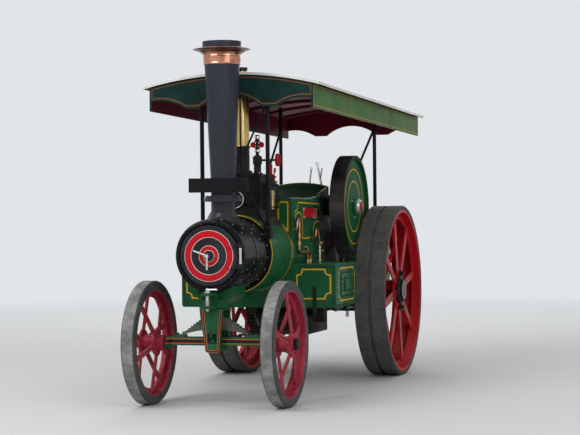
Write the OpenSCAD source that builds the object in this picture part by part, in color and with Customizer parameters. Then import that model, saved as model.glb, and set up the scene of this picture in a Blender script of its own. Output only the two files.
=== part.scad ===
// Steam traction engine, a light road tractor on rubber tyres with a full canopy.
// Millimetres. The front faces -Y, the driver's right hand is -X and up is +Z.
// Each sub-part is drawn with y counted back from the front axle; from_axle() then
// moves it to the engine's own origin, on the ground under the middle of the whole.

/* [Front wheels] */
// Outside diameter of a front tyre
front_tyre_d = 952; // [930:2:966]
// Width of a front tyre
front_tyre_w = 104; // [90:2:110]
// Thickness of the rubber on a front wheel
front_rubber_t = 70; // [50:2:76]
// Distance between the middles of the two front tyres
front_track = 1087; // [1080:1:1120]
// Width of the steel rim of a front wheel
front_rim_w = 100; // [84:2:104]
// Thickness of the steel rim of a front wheel
front_rim_t = 10; // [8:1:14]
// Number of spokes in a front wheel, half of them on each hub flange
front_spokes = 10; // [8:2:12]
// Width of a front spoke
front_spoke_w = 45; // [36:1:50]
// Thickness of a front spoke
front_spoke_t = 12; // [10:1:16]
// Radius of the hub flanges of a front wheel
front_flange_r = 100; // [90:1:115]
// Distance between the two flanges of a front hub
front_flange_gap = 110; // [100:2:120]

/* [Rear wheels] */
// Distance from the front axle to the rear axle
wheelbase = 2720; // [2700:5:2760]
// Outside diameter of a rear tyre
rear_tyre_d = 1520; // [1500:4:1540]
// Width of a rear tyre
rear_tyre_w = 271; // [250:1:275]
// Thickness of the rubber on a rear wheel
rear_rubber_t = 35; // [26:1:50]
// Distance between the middles of the two rear tyres
rear_track = 1420; // [1416:1:1440]
// Width of the steel rim of a rear wheel
rear_rim_w = 265; // [240:1:271]
// Thickness of the steel rim of a rear wheel
rear_rim_t = 25; // [16:1:30]
// Number of spokes in a rear wheel, half of them on each hub flange
rear_spokes = 16; // [12:2:20]
// Width of a rear spoke
rear_spoke_w = 65; // [50:1:75]
// Thickness of a rear spoke
rear_spoke_t = 14; // [10:1:18]
// Radius of the hub flanges of a rear wheel
rear_flange_r = 170; // [150:1:200]
// Radius of the rear axle
rear_axle_r = 55; // [45:1:62]

/* [Boiler] */
// Height of the boiler's centre line above the ground
boiler_z = 1145; // [1140:1:1160]
// Outside radius of the lagged boiler barrel
barrel_r = 310; // [304:1:320]
// Length of the boiler barrel between smokebox and firebox
barrel_len = 1225; // [1205:5:1245]
// Outside radius of the smokebox
smokebox_r = 277; // [270:1:285]
// Length of the smokebox
smokebox_len = 605; // [590:1:615]
// How far the smokebox reaches in front of the front axle
smokebox_reach = 130; // [120:1:140]
// Thickness of the smokebox plates
smokebox_t = 12; // [8:1:16]
// Radius of the smokebox door
door_r = 230; // [220:1:240]
// Thickness of the smokebox door's plate
door_t = 20; // [14:1:24]
// Distance from the boiler's centre line out to the door's hinge pin
door_hinge_x = 252; // [250:1:262]
// Room between the back of the firebox and the second shaft
firebox_gap = 52; // [40:2:60]
// Height of the firebox bottom above the ground
firebox_bottom_z = 600; // [580:5:640]
// Height of the ashpan's bottom above the ground
ashpan_z = 420; // [400:5:460]

/* [Chimney] */
// Distance from the front axle back to the chimney's centre line
chimney_y = 190; // [170:5:220]
// Radius of the chimney barrel at its foot
chimney_foot_r = 95; // [88:1:105]
// Radius of the chimney barrel at its top
chimney_top_r = 136; // [125:1:142]
// Radius of the bore at the chimney's mouth
chimney_bore_r = 120; // [108:1:124]
// Height of the chimney's mouth above the ground
chimney_top_z = 2790; // [2760:5:2820]
// Radius of the brim of the copper cap
cap_brim_r = 224; // [210:1:235]
// Height of the copper cap, from its lower edge up to the chimney's mouth
cap_h = 180; // [170:2:190]
// Length of the number plate
plate_l = 480; // [440:5:520]
// Height of the number plate
plate_h = 110; // [90:2:120]

/* [Cylinder and motion] */
// Distance from the smokebox back to the front of the cylinder block
block_gap = 125; // [105:5:155]
// Length of the cylinder block
block_len = 400; // [380:5:410]
// Half of the cylinder block's width
block_hw = 170; // [160:1:185]
// Height of the cylinder block's top above the boiler's centre line
block_rise = 630; // [610:5:650]
// Height of the motion case's top above the boiler's centre line
case_rise = 445; // [430:5:455]
// Half of the motion case's width
case_hw = 300; // [292:1:306]
// Height of the bonnet's highest point above the motion case
bonnet_rise = 140; // [110:5:150]
// Radius of the crankshaft
crank_r = 38; // [32:1:42]
// Distance from the rear axle forward to the crankshaft
crank_lead = 570; // [560:5:575]
// Height of the crankshaft above the rear axle
crank_lift = 755; // [745:5:760]
// Outside radius of the flywheel
flywheel_r = 445; // [430:1:450]
// Width of the flywheel's rim
flywheel_w = 127; // [110:1:128]
// Thickness of the flywheel's rim
flywheel_rim_t = 30; // [20:1:36]
// Room between the flywheel and the left rear tyre
flywheel_gap = 14.5; // [12:0.5:18]
// Height of the safety valve's housing
valve_h = 225; // [200:5:240]
// Height of the exhaust pipe's end above the eaves
exhaust_rise = 179; // [160:1:200]
// Height of the governor's balls above the cylinder block
governor_h = 246; // [220:2:260]

/* [Gears] */
// Teeth of the pinion on the crankshaft
crank_teeth = 22; // [20:1:24]
// Teeth of the large gear on the second shaft
second_teeth = 64; // [62:1:66]
// Tooth module of the first pair of gears
first_module = 10; // [9.8:0.1:10.1]
// Teeth of the pinion on the second shaft
pinion_teeth = 17; // [16:1:18]
// Teeth of the gear on the rear axle
final_teeth = 73; // [72:1:74]
// Tooth module of the last pair of gears
final_module = 12; // [11.8:0.1:12.1]
// Radius of the second shaft
second_r = 35; // [30:1:40]

/* [Frame plates and tender] */
// Distance from the middle of the engine to the inside of a hornplate
horn_inner = 286; // [280:1:287]
// Thickness of a hornplate
horn_t = 14; // [10:1:18]
// How far the hornplates reach behind the rear axle
horn_reach = 225; // [215:5:235]
// Half of the tender's width
tender_hw = 484; // [470:2:500]
// Thickness of the tender's plates
tender_t = 8; // [6:1:12]
// Length of the wide part of the tender
tender_len = 670; // [640:5:700]
// Height of the tender's floor above the ground
floor_z = 660; // [640:5:680]
// Height of the tender's top edge above the ground
tender_top_z = 1280; // [1260:5:1320]
// Radius of the tender's rear corners
tender_corner_r = 160; // [120:5:180]
// Length of the coal bunker
bunker_len = 450; // [420:5:480]

/* [Belly tank] */
// Half of the belly tank's width
tank_hw = 663; // [640:1:680]
// Length of the belly tank
tank_len = 655; // [620:5:660]
// Height of the belly tank's top above the ground
tank_top_z = 1047; // [1030:1:1060]
// Height of the belly tank's bottom above the ground
tank_bottom_z = 691; // [680:1:700]

/* [Front axle and steering] */
// Half of the front axle beam's length
beam_hw = 400; // [396:1:410]
// Depth of the front axle beam
beam_d = 70; // [60:1:74]
// Radius of a front stub axle
stub_r = 35; // [30:1:40]
// Thickness of one spring leaf
leaf_t = 11.5; // [9:0.5:12]
// Number of spring leaves
leaf_count = 8; // [6:1:8]
// Half of the longest leaf's span
spring_span = 262; // [250:2:280]
// Height of the turntable's lower face above the front axle
turntable_lift = 256; // [250:1:262]
// Radius of the king pin
king_r = 25; // [20:1:30]
// Distance from the rear axle back to the steering wheel
handwheel_back = 160; // [150:5:170]
// Height of the steering wheel above the rear axle
handwheel_lift = 585; // [570:5:600]
// Radius of the steering wheel's rim
handwheel_r = 165; // [150:1:170]
// Distance from the middle of the engine to the steering shaft
steer_x = 370; // [368:1:372]
// Radius of the steering shaft
steer_rod_r = 14; // [11:1:16]

/* [Canopy] */
// Distance from the front axle back to the canopy's front edge
canopy_front_y = 365; // [350:5:380]
// Distance from the front axle back to the rearmost point of the canopy
canopy_rear_y = 4200; // [4160:10:4240]
// Half of the canopy's width
canopy_hw = 725; // [700:5:750]
// How far the roof reaches out past the side boards
eave_lip = 50; // [30:2:60]
// Height of the canopy's eaves above the ground, at its front edge
eave_z = 2455; // [2440:5:2480]
// Rise of the roof's curve from eaves to crown
roof_rise = 95; // [80:1:110]
// Thickness of the roof
roof_t = 20; // [16:1:26]
// Fall of the roof towards the rear, in degrees
roof_fall = 1; // [0:0.1:1.5]
// Radius of a canopy post
post_r = 17; // [14:1:20]
// Height of the front posts' feet above the boiler's centre line
post_foot_h = 235; // [220:5:250]
// Height of the front stays' knees above the cylinder block
stay_h = 95; // [80:5:110]

/* [Fits] */
// Room between pieces that sit on each other
seat = 0.3; // [0.2:0.05:0.5]
// Room all round a shaft that turns in a bore
running = 0.1; // [0.05:0.01:0.1]

/* [Hidden] */
$fn = 64;
cut = 1;

// Wheels
front_r = front_tyre_d / 2;
rear_r = rear_tyre_d / 2;
front_axle_y = (front_r - canopy_rear_y) / 2;
front_rim_r = front_r - front_rubber_t;
front_web_t = 12;
front_web_r = front_rim_r - 56;
front_hub_r = 60;
front_nose = front_flange_gap / 2 + 20;
front_hub_tail = front_track / 2 - beam_hw - 20;
front_cap_r = 45;
front_cap_l = 25;
rear_rim_r = rear_r - rear_rubber_t;
rear_web_t = 14;
rear_web_r = rear_rim_r - 85;
rear_web_u = 70;
rear_hub_r = 95;
rear_flange_u = 75;
rear_hub_end = 110;
rear_cap_end = 140;

// Boiler stations, counted back from the front axle
smokebox_y = -smokebox_reach;
barrel_y = smokebox_y + smokebox_len;
horn_y = barrel_y + barrel_len;
firebox_y = horn_y + seat;
door_back_y = smokebox_y - 10 - seat;
door_front_y = door_back_y - door_t;
door_hinge_y = door_front_y - 7;
hinge_pin_r = 9;
smokebox_top_z = boiler_z + smokebox_r;
smokebox_bottom_z = boiler_z - smokebox_r;

// Motion
block_y = barrel_y + block_gap;
block_top_z = boiler_z + block_rise;
case_y = block_y + block_len + 34;
case_top_z = boiler_z + case_rise;
rear_axle_y = wheelbase;
rear_axle_z = rear_r;
crank_y = rear_axle_y - crank_lead;
crank_z = rear_axle_z + crank_lift;
horn_end = rear_axle_y + horn_reach;
horn_outer = horn_inner + horn_t;
flywheel_x = (rear_track - rear_tyre_w) / 2 - flywheel_gap - flywheel_w;
crank_boss_r = 75;
axle_boss_r = 90;
boss_x = horn_outer + 45;
axle_boss_x = horn_outer + 100;

// Gears: the second shaft lies where both pairs are at their centre distances
pair_slack = 0.5;
first_pair = (crank_teeth + second_teeth) * first_module / 2 + pair_slack;
final_pair = (pinion_teeth + final_teeth) * final_module / 2 + pair_slack;
axles_apart = norm([crank_lead, crank_lift]);
axles_angle = atan2(crank_lift, -crank_lead);
along = (axles_apart * axles_apart + final_pair * final_pair - first_pair * first_pair) / (2 * axles_apart);
swing = acos(along / final_pair);
second_angle = axles_angle - swing;
second_y = rear_axle_y + final_pair * cos(second_angle);
second_z = rear_axle_z + final_pair * sin(second_angle);
firebox_end = second_y - second_r - firebox_gap;
second_gear_x = 360;
second_gear_w = 60;
final_gear_x = 445;
final_gear_w = 80;

// Tender
tender_y = rear_axle_y + final_teeth * final_module / 2 + final_module + 20;
tender_end = tender_y + tender_len;
tank_z = floor_z - 80;
bunker_y = tender_end - bunker_len;
bunker_floor_z = floor_z + 290;

// Belly tank
tank_end = horn_y - seat;
tank_y = tank_end - tank_len;

// Front axle, from the tyre up to the turntable
axle_z = front_r;
beam_top = axle_z + 49;
pad_x = spring_span + 28;
pad_top = beam_top + 18;
leaf_r = 900;
leaf_z = pad_top - sqrt(leaf_r * leaf_r - spring_span * spring_span);
spring_top = leaf_z + leaf_r + leaf_count * leaf_t;
turntable_z = axle_z + turntable_lift;
turntable_t = 10;
perch_z = turntable_z + turntable_t + 5;
fork_y = 105;
fork_t = 20;
fork_top_hw = 82;
fork_foot_hw = 56;
fork_foot_z = axle_z - 64;
tow_y = -200;
jaw_t = 20;
jaw_z = smokebox_bottom_z - jaw_t;

// Steering
chain_eye_x = 300;
barrel_pull_x = 120;
link_w = 28;
link_t = 9;
link_lap = 6;
drum_r = 50;
drum_z = tank_bottom_z - 101;
drum_y = tank_end - 100;
wheel_y = rear_axle_y + handwheel_back;
wheel_z = rear_axle_z + handwheel_lift;
shaft_foot = [steer_x, drum_y, drum_z];
shaft_head = [steer_x, wheel_y, wheel_z];
shaft_rake = atan2(wheel_z - drum_z, wheel_y - drum_y);

// Canopy, drawn level in its own frame with its front eave at the origin
roof_r = (canopy_hw * canopy_hw + roof_rise * roof_rise) / (2 * roof_rise);
roof_centre = roof_rise - roof_r;
roof_high = roof_rise + roof_t;
roof_len = (canopy_rear_y - canopy_front_y - roof_high * sin(roof_fall)) / cos(roof_fall);
front_post = [272, canopy_front_y + 115];
rear_post = [tender_hw - tender_t - seat - post_r, tender_y + 50];

// Placing and drawing helpers
module from_axle() {
    translate([0, front_axle_y, 0]) children();
}

// Extrudes a side view, drawn as (y, z), over a length t from x
module along_x(x, t) {
    translate([x, 0, 0]) rotate([90, 0, 90]) linear_extrude(t) children();
}

// Extrudes a front view, drawn as (x, z), over a length t from y
module along_y(y, t) {
    translate([0, y + t, 0]) rotate([90, 0, 0]) linear_extrude(t) children();
}

// Turns a profile of (radius, x) points about the X axis
module turned_x(profile) {
    rotate([0, 90, 0]) rotate_extrude() polygon(profile);
}

// Turns a profile of (radius, y) points about the Y axis
module turned_y(profile) {
    rotate([-90, 0, 0]) rotate_extrude() polygon(profile);
}

module bar_x(x, t, r) {
    translate([x, 0, 0]) rotate([0, 90, 0]) cylinder(h = t, r = r);
}

module bar_y(y, t, r) {
    translate([0, y, 0]) rotate([-90, 0, 0]) cylinder(h = t, r = r);
}

module both_sides() {
    children();
    mirror([1, 0, 0]) children();
}

module rod(from, to, r) {
    v = to - from;
    translate(from) rotate([0, acos(v[2] / norm(v)), atan2(v[1], v[0])]) cylinder(h = norm(v), r = r);
}

// A pipe through points, with the fitting that is its child over each bend
module bent_pipe(points, r) {
    for (i = [1 : len(points) - 1]) {
        rod(points[i - 1], points[i], r);
    }
    for (i = [1 : len(points) - 2]) {
        translate(points[i]) children();
    }
}

// A rectangle of two opposite corners, with its corners rounded
module round_rect(low, high, r) {
    size = high - low;
    translate(low + [r, 0]) square([size[0] - 2 * r, size[1]]);
    translate(low + [0, r]) square([size[0], size[1] - 2 * r]);
    for (x = [low[0] + r, high[0] - r], y = [low[1] + r, high[1] - r]) {
        translate([x, y]) circle(r);
    }
}

// A spur gear of straight-sided teeth, drawn flat, with one tooth on its x axis
module gear_outline(teeth, m) {
    pitch = 360 / teeth;
    r = teeth * m / 2;
    tip = r + m;
    root = r - 1.2 * m;
    polygon([
        for (i = [0 : teeth - 1]) each [
            root * [cos(pitch * (i - 0.32)), sin(pitch * (i - 0.32))],
            tip * [cos(pitch * (i - 0.11)), sin(pitch * (i - 0.11))],
            tip * [cos(pitch * (i + 0.11)), sin(pitch * (i + 0.11))],
            root * [cos(pitch * (i + 0.32)), sin(pitch * (i + 0.32))]
        ]
    ]);
}

// The space the barrel takes, a seat's clearance larger, for what saddles it
module barrel_space() {
    translate([0, 0, boiler_z]) bar_y(barrel_y - cut, barrel_len + 2 * cut, barrel_r + seat, $fn = 256);
}

module smokebox_space() {
    translate([0, 0, boiler_z]) bar_y(smokebox_y - 100, smokebox_len + 100, smokebox_r + seat, $fn = 256);
}

module boiler_barrel() {
    band_w = 26;
    band_t = 3;
    color("#1f5a35") from_axle() translate([0, 0, boiler_z]) {
        turned_y([
            [0, barrel_y + seat], [barrel_r, barrel_y + seat],
            [barrel_r, block_y + block_len + 4], [barrel_r + band_t, block_y + block_len + 4],
            [barrel_r + band_t, block_y + block_len + 4 + band_w],
            [barrel_r, block_y + block_len + 4 + band_w],
            [barrel_r, horn_y], [0, horn_y]
        ]);
    }
}

module smokebox() {
    lug = 24;
    ring_crest = smokebox_r - 21;
    ring_r = door_r + 5;
    inner = smokebox_r - smokebox_t;
    color("#1d2023") from_axle() translate([0, 0, boiler_z]) {
        difference() {
            union() {
                turned_y([
                    [door_r - 15, smokebox_y - 10], [ring_r, smokebox_y - 10],
                    [ring_crest - 13, smokebox_y - 18], [ring_crest, smokebox_y - 20],
                    [ring_crest + 12, smokebox_y - 16], [smokebox_r - 2, smokebox_y - 4],
                    [smokebox_r, smokebox_y + 8], [smokebox_r, barrel_y], [0, barrel_y],
                    [0, barrel_y - smokebox_t], [inner, barrel_y - smokebox_t],
                    [inner, smokebox_y + smokebox_t], [door_r - 15, smokebox_y + smokebox_t]
                ]);
                for (side = [-1, 1]) {
                    hinge_lug(side * 112, lug);
                }
            }
            cylinder(h = smokebox_r + cut, r = chimney_foot_r - 10);
            translate([0, chimney_y, 0]) cylinder(h = smokebox_r + cut, r = chimney_foot_r - 10);
        }
        translate([door_hinge_x, door_hinge_y, -126]) cylinder(h = 252, r = hinge_pin_r);
    }
}

// A lug on the smokebox front that holds the door's hinge pin, at height z
module hinge_lug(z, t) {
    translate([door_hinge_x, door_hinge_y, z - t / 2]) {
        cylinder(h = t, r = hinge_pin_r + 5);
        translate([-hinge_pin_r - 5, 0, 0]) cube([2 * hinge_pin_r + 10, smokebox_y - door_hinge_y, t]);
    }
}

module smokebox_door() {
    eye_h = 30;
    eye_r = hinge_pin_r + 6;
    ring_t = 3;
    color("#20242a") from_axle() translate([0, 0, boiler_z]) {
        difference() {
            union() {
                turned_y([
                    [0, door_back_y], [door_r, door_back_y], [door_r, door_front_y + 6],
                    [door_r - 8, door_front_y], [193, door_front_y], [193, door_front_y - ring_t],
                    [140, door_front_y - ring_t], [140, door_front_y], [79, door_front_y],
                    [79, door_front_y - ring_t], [42, door_front_y - ring_t],
                    [36, door_front_y - 18], [16, door_front_y - 22], [16, door_front_y - 56],
                    [0, door_front_y - 56]
                ]);
                for (z = [-80, 80]) {
                    translate([door_hinge_x, door_hinge_y, z - eye_h / 2]) {
                        cylinder(h = eye_h, r = eye_r);
                        translate([-110, -6, 0]) cube([110, 12, eye_h]);
                    }
                }
            }
            translate([door_hinge_x, door_hinge_y, -smokebox_r]) {
                cylinder(h = 2 * smokebox_r, r = hinge_pin_r + running);
            }
        }
        handle_y = door_front_y - 32;
        rod([0, handle_y, 0], [-112, handle_y, 40], 8);
        rod([0, handle_y - 12, 0], [0, handle_y - 12, -104], 8);
    }
}

module chimney() {
    neck_r = 95;
    flange_r = 150;
    flange_z = smokebox_top_z + 134;
    barrel_z = flange_z + 45;
    cap_z = chimney_top_z - cap_h;
    rim_r = chimney_top_r + 15;
    color("#23262c") from_axle() {
        difference() {
            translate([0, chimney_y, 0]) rotate_extrude() polygon([
                [0, boiler_z + smokebox_r - 60], [165, boiler_z + smokebox_r - 60],
                [165, smokebox_top_z - 36], [136, smokebox_top_z - 8], [112, smokebox_top_z + 18],
                [neck_r, smokebox_top_z + 48], [neck_r, flange_z], [flange_r, flange_z],
                [flange_r, barrel_z - 18], [flange_r - 12, barrel_z - 18], [flange_r - 12, barrel_z],
                [chimney_foot_r, barrel_z], [chimney_foot_r + 2, barrel_z + 145],
                [chimney_top_r, cap_z], [chimney_top_r, chimney_top_z - 55],
                [rim_r, chimney_top_z - 45], [rim_r, chimney_top_z],
                [0, chimney_top_z]
            ]);
            translate([0, chimney_y, 0]) rotate_extrude() polygon([
                [0, boiler_z], [chimney_foot_r - 10, boiler_z],
                [chimney_foot_r - 10, barrel_z + 145], [chimney_bore_r, cap_z],
                [chimney_bore_r, chimney_top_z + cut], [0, chimney_top_z + cut]
            ]);
            smokebox_space();
        }
    }
}

module chimney_cap() {
    foot_z = chimney_top_z - cap_h;
    brim_z = chimney_top_z - 60;
    inner_r = chimney_top_r + seat;
    color("#b5654a") from_axle() translate([0, chimney_y, 0]) rotate_extrude() polygon([
        [inner_r, foot_z], [inner_r + 7, foot_z], [inner_r + 9, foot_z + 8], [inner_r + 7, foot_z + 16],
        [inner_r + 7, foot_z + 60], [inner_r + 11, foot_z + 64], [inner_r + 9, brim_z - 46],
        [inner_r + 22, brim_z - 30], [inner_r + 48, brim_z - 13], [cap_brim_r - 12, brim_z - 5],
        [cap_brim_r, brim_z], [cap_brim_r - 10, brim_z + 5], [inner_r + 44, brim_z - 6],
        [inner_r + 14, brim_z - 24], [inner_r, brim_z - 36]
    ]);
}

module number_plate() {
    plate_t = 6;
    plate_z = smokebox_top_z + 204;
    plate_y = chimney_y - chimney_foot_r - 26;
    clip = 14;
    color("#15171a") from_axle() difference() {
        union() {
            along_y(plate_y, plate_t) round_rect([-plate_l / 2, plate_z], [plate_l / 2, plate_z + plate_h], 8);
            for (z = [plate_z + 22, plate_z + plate_h - 22 - clip]) {
                translate([-40, plate_y + plate_t / 2, z]) cube([80, 60, clip]);
            }
        }
        translate([0, chimney_y, plate_z - 19]) {
            cylinder(h = 145, r1 = chimney_foot_r + seat, r2 = chimney_foot_r + 2 + seat);
        }
    }
}

module cylinder_block() {
    chest_hw = block_hw + 45;
    foot_hw = block_hw + 48;
    color("#22252a") from_axle() difference() {
        union() {
            along_y(block_y, block_len) {
                round_rect([-block_hw, boiler_z + 200], [block_hw, block_top_z], 30);
                polygon([
                    [-foot_hw, boiler_z + 200], [foot_hw, boiler_z + 200], [foot_hw, boiler_z + 246],
                    [block_hw, boiler_z + 290], [-block_hw, boiler_z + 290], [-foot_hw, boiler_z + 246]
                ]);
            }
            along_y(block_y + 60, block_len - 120) {
                round_rect([-chest_hw, boiler_z + 350], [chest_hw, boiler_z + 560], 16);
            }
            translate([0, 0, block_top_z - 24]) {
                along_y(block_y - 8, block_len + 16) round_rect([-block_hw - 8, 0], [block_hw + 8, 16], 4);
            }
            translate([-70, block_y - 26, boiler_z + 430]) rotate([-90, 0, 0]) cylinder(h = 30, r = 92);
            translate([88, block_y - 22, boiler_z + 450]) rotate([-90, 0, 0]) cylinder(h = 30, r = 62);
        }
        barrel_space();
    }
}

module safety_valve() {
    valve_y = block_y + 60;
    column_z = block_top_z + valve_h;
    pipe_z = eave_z + exhaust_rise;
    color("#b08d3c") from_axle() translate([0, valve_y, 0]) rotate_extrude() polygon([
        [0, block_top_z + seat], [86, block_top_z + seat], [86, block_top_z + 18], [62, block_top_z + 26],
        [62, column_z - 14], [70, column_z - 10], [70, column_z], [60, column_z + 4],
        [60, pipe_z - 194], [48, pipe_z - 164], [42, pipe_z - 144], [42, pipe_z - 34],
        [52, pipe_z - 30], [52, pipe_z - 6], [20, pipe_z], [0, pipe_z]
    ]);
}

module governor() {
    governor_x = 37;
    governor_y = block_y + block_len - 50;
    ball_z = block_top_z + governor_h;
    ball_x = 36;
    ball_r = 23;
    spindle_z = block_top_z + 120;
    pulley_x = 175;
    pulley_r = 52;
    color("#7a1f24") from_axle() {
        translate([governor_x, governor_y, 0]) {
            rotate_extrude() polygon([
                [0, block_top_z + seat], [44, block_top_z + seat], [44, block_top_z + 14],
                [30, block_top_z + 24], [30, block_top_z + 84], [38, block_top_z + 92],
                [38, block_top_z + 148], [24, block_top_z + 158], [14, block_top_z + 164],
                [14, ball_z - 62], [26, ball_z - 56], [26, ball_z - 40], [12, ball_z - 34],
                [12, ball_z + 44], [24, ball_z + 52], [24, ball_z + 70], [12, ball_z + 81],
                [0, ball_z + 81]
            ]);
            for (side = [-1, 1]) {
                translate([side * ball_x, 0, ball_z]) rotate([0, 0, 40]) sphere(ball_r);
                rod([0, 0, ball_z + 58], [side * ball_x, 0, ball_z], 6);
                rod([0, 0, ball_z - 46], [side * ball_x, 0, ball_z], 6);
            }
            translate([0, 0, spindle_z]) {
                bar_x(0, pulley_x + 4, 9);
                turned_x([
                    [0, pulley_x - 3], [pulley_r - 7, pulley_x - 3], [pulley_r - 7, pulley_x - 11],
                    [pulley_r, pulley_x - 11], [pulley_r, pulley_x + 11], [pulley_r - 7, pulley_x + 11],
                    [pulley_r - 7, pulley_x + 3], [0, pulley_x + 3]
                ]);
            }
        }
        translate([143, governor_y + 22, block_top_z + seat]) cylinder(h = 86, r = 14);
    }
}

module motion_case() {
    color("#1f5a35") from_axle() difference() {
        along_y(case_y, horn_y - seat - case_y) {
            round_rect([-case_hw, boiler_z], [case_hw, case_top_z], 24);
        }
        barrel_space();
    }
}

// The sheet cover over the crank, rising to an arched plate behind it
module motion_bonnet() {
    sheet = 8;
    slope_y = horn_y + 150;
    arch_y = crank_y + 165;
    side_hw = horn_inner - 30;
    shoulder_z = case_top_z + bonnet_rise - 34;
    arch_r = (side_hw * side_hw + 34 * 34) / (2 * 34);
    skirt_z = case_top_z - 60;
    color("#1f5a35") from_axle() {
        difference() {
            along_x(-side_hw, 2 * side_hw) polygon([
                [horn_y + seat, skirt_z], [horn_y + seat, case_top_z], [slope_y, case_top_z],
                [arch_y, shoulder_z], [arch_y, skirt_z]
            ]);
            along_x(sheet - side_hw, 2 * (side_hw - sheet)) polygon([
                [horn_y - cut, skirt_z - cut], [horn_y - cut, case_top_z - sheet],
                [slope_y, case_top_z - sheet], [arch_y + cut, shoulder_z - sheet], [arch_y + cut, skirt_z - cut]
            ]);
            translate([0, crank_y, crank_z]) bar_x(-horn_inner, 2 * horn_inner, crank_r + 12);
        }
        along_y(arch_y - 2, 14) difference() {
            intersection() {
                translate([0, case_top_z + bonnet_rise - arch_r]) circle(arch_r, $fn = 128);
                translate([-side_hw - 4, boiler_z]) square([2 * side_hw + 8, shoulder_z]);
            }
            firebox_outline(seat);
        }
        both_sides() along_x(side_hw - sheet / 2, horn_inner - side_hw + sheet / 2 - seat) {
            for (y = [horn_y + 20, arch_y - 90]) {
                translate([y, skirt_z + 10]) square([70, 30]);
            }
        }
    }
}

module firebox_outline(room) {
    hw = horn_inner - seat;
    crown_z = boiler_z + barrel_r - hw;
    translate([-hw - room, firebox_bottom_z]) square([2 * (hw + room), crown_z - firebox_bottom_z]);
    translate([0, crown_z]) circle(hw + room);
}

module firebox() {
    pan_hw = 220;
    color("#23272b") from_axle() {
        along_y(firebox_y, firebox_end - firebox_y) firebox_outline(0);
        along_y(firebox_y + 60, firebox_end - firebox_y - 80) {
            translate([-pan_hw, ashpan_z]) square([2 * pan_hw, firebox_bottom_z - ashpan_z + cut]);
        }
        translate([0, 0, boiler_z - 240]) {
            bar_y(firebox_end - cut, 14, 130);
            bar_y(firebox_end - cut, 26, 105);
        }
    }
}

module horn_outline() {
    polygon([
        [horn_y, boiler_z - 195], [horn_y, case_top_z], [crank_y - 200, crank_z + 105],
        [crank_y + 250, crank_z + 105], [crank_y + 300, crank_z + 35], [crank_y + 450, rear_axle_z + 540],
        [rear_axle_y + 80, rear_axle_z + 340], [horn_end, rear_axle_z + 290], [horn_end, rear_axle_z - 120],
        [rear_axle_y - 120, rear_axle_z - 160], [rear_axle_y - 320, rear_axle_z - 180]
    ]);
}

module hornplates() {
    color("#1a1d20") from_axle() both_sides() difference() {
        union() {
            along_x(horn_inner, horn_t) horn_outline();
            translate([0, crank_y, crank_z]) bar_x(horn_outer - cut, boss_x - horn_outer + cut, crank_boss_r);
            translate([0, second_y, second_z]) bar_x(horn_outer - cut, boss_x - horn_outer + cut, 60);
            translate([0, rear_axle_y, rear_axle_z]) {
                bar_x(horn_outer - cut, axle_boss_x - horn_outer + cut, axle_boss_r);
            }
        }
        translate([0, crank_y, crank_z]) bar_x(horn_inner - cut, 100, crank_r + running);
        translate([0, second_y, second_z]) bar_x(horn_inner - cut, 100, second_r + seat);
        translate([0, rear_axle_y, rear_axle_z]) bar_x(horn_inner - cut, 200, rear_axle_r + seat);
    }
}

module belly_tank() {
    cover_y = tank_y + 150;
    cover_z = tank_bottom_z + 70;
    color("#1f5a35") from_axle() {
        difference() {
            along_y(tank_y, tank_len) round_rect([-tank_hw, tank_bottom_z], [tank_hw, tank_top_z], 20);
            barrel_space();
        }
        both_sides() {
            along_x(tank_hw - cut, 9 + cut) {
                round_rect([cover_y, cover_z], [cover_y + 400, tank_top_z - 60], 40);
            }
            along_x(tank_hw - cut, 17 + cut) {
                round_rect([cover_y + 90, cover_z + 50], [cover_y + 310, tank_top_z - 110], 30);
            }
        }
        translate([472, tank_y - 13, tank_bottom_z - 51]) cube([26, 13 + cut, 225]);
        translate([485, tank_y - 6, tank_bottom_z - 84]) cylinder(h = 40, r = 5);
    }
}

module perch_bracket() {
    lug_hw = 45;
    plate = 24;
    color("#1f5a35") from_axle() difference() {
        union() {
            along_y(-50, 300) polygon([
                [-60, perch_z + plate], [60, perch_z + plate], [150, jaw_z - 10], [150, jaw_z + 70],
                [-150, jaw_z + 70], [-150, jaw_z - 10]
            ]);
            translate([0, 0, perch_z]) cylinder(h = 60, r = 95);
            translate([-lug_hw, tow_y, perch_z]) cube([2 * lug_hw, -tow_y, plate]);
            translate([0, tow_y, perch_z]) cylinder(h = plate, r = lug_hw);
            translate([-lug_hw, tow_y, jaw_z]) cube([2 * lug_hw, -tow_y, jaw_t]);
            translate([0, tow_y, jaw_z]) cylinder(h = jaw_t, r = lug_hw);
            translate([-lug_hw, -125, perch_z + cut]) cube([2 * lug_hw, 125, jaw_z - perch_z + 10]);
        }
        smokebox_space();
        translate([0, 0, perch_z - cut]) cylinder(h = 53 + cut, r = king_r + running);
        translate([0, tow_y, perch_z - cut]) cylinder(h = 200, r = 14 + seat);
    }
}

module tow_pin() {
    pin_r = 14;
    top = smokebox_bottom_z + 23;
    color("#c9cdd0") from_axle() {
        translate([0, tow_y, perch_z - 14]) cylinder(h = top - perch_z + 14, r = pin_r);
        translate([0, tow_y, jaw_z + jaw_t + seat]) cylinder(h = 10, r = 26);
        translate([0, tow_y, top]) rotate([0, 0, 30]) sphere(pin_r + 1);
        rod([0, tow_y, top], [80, tow_y - 12, top + 3], 10);
    }
}

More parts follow.
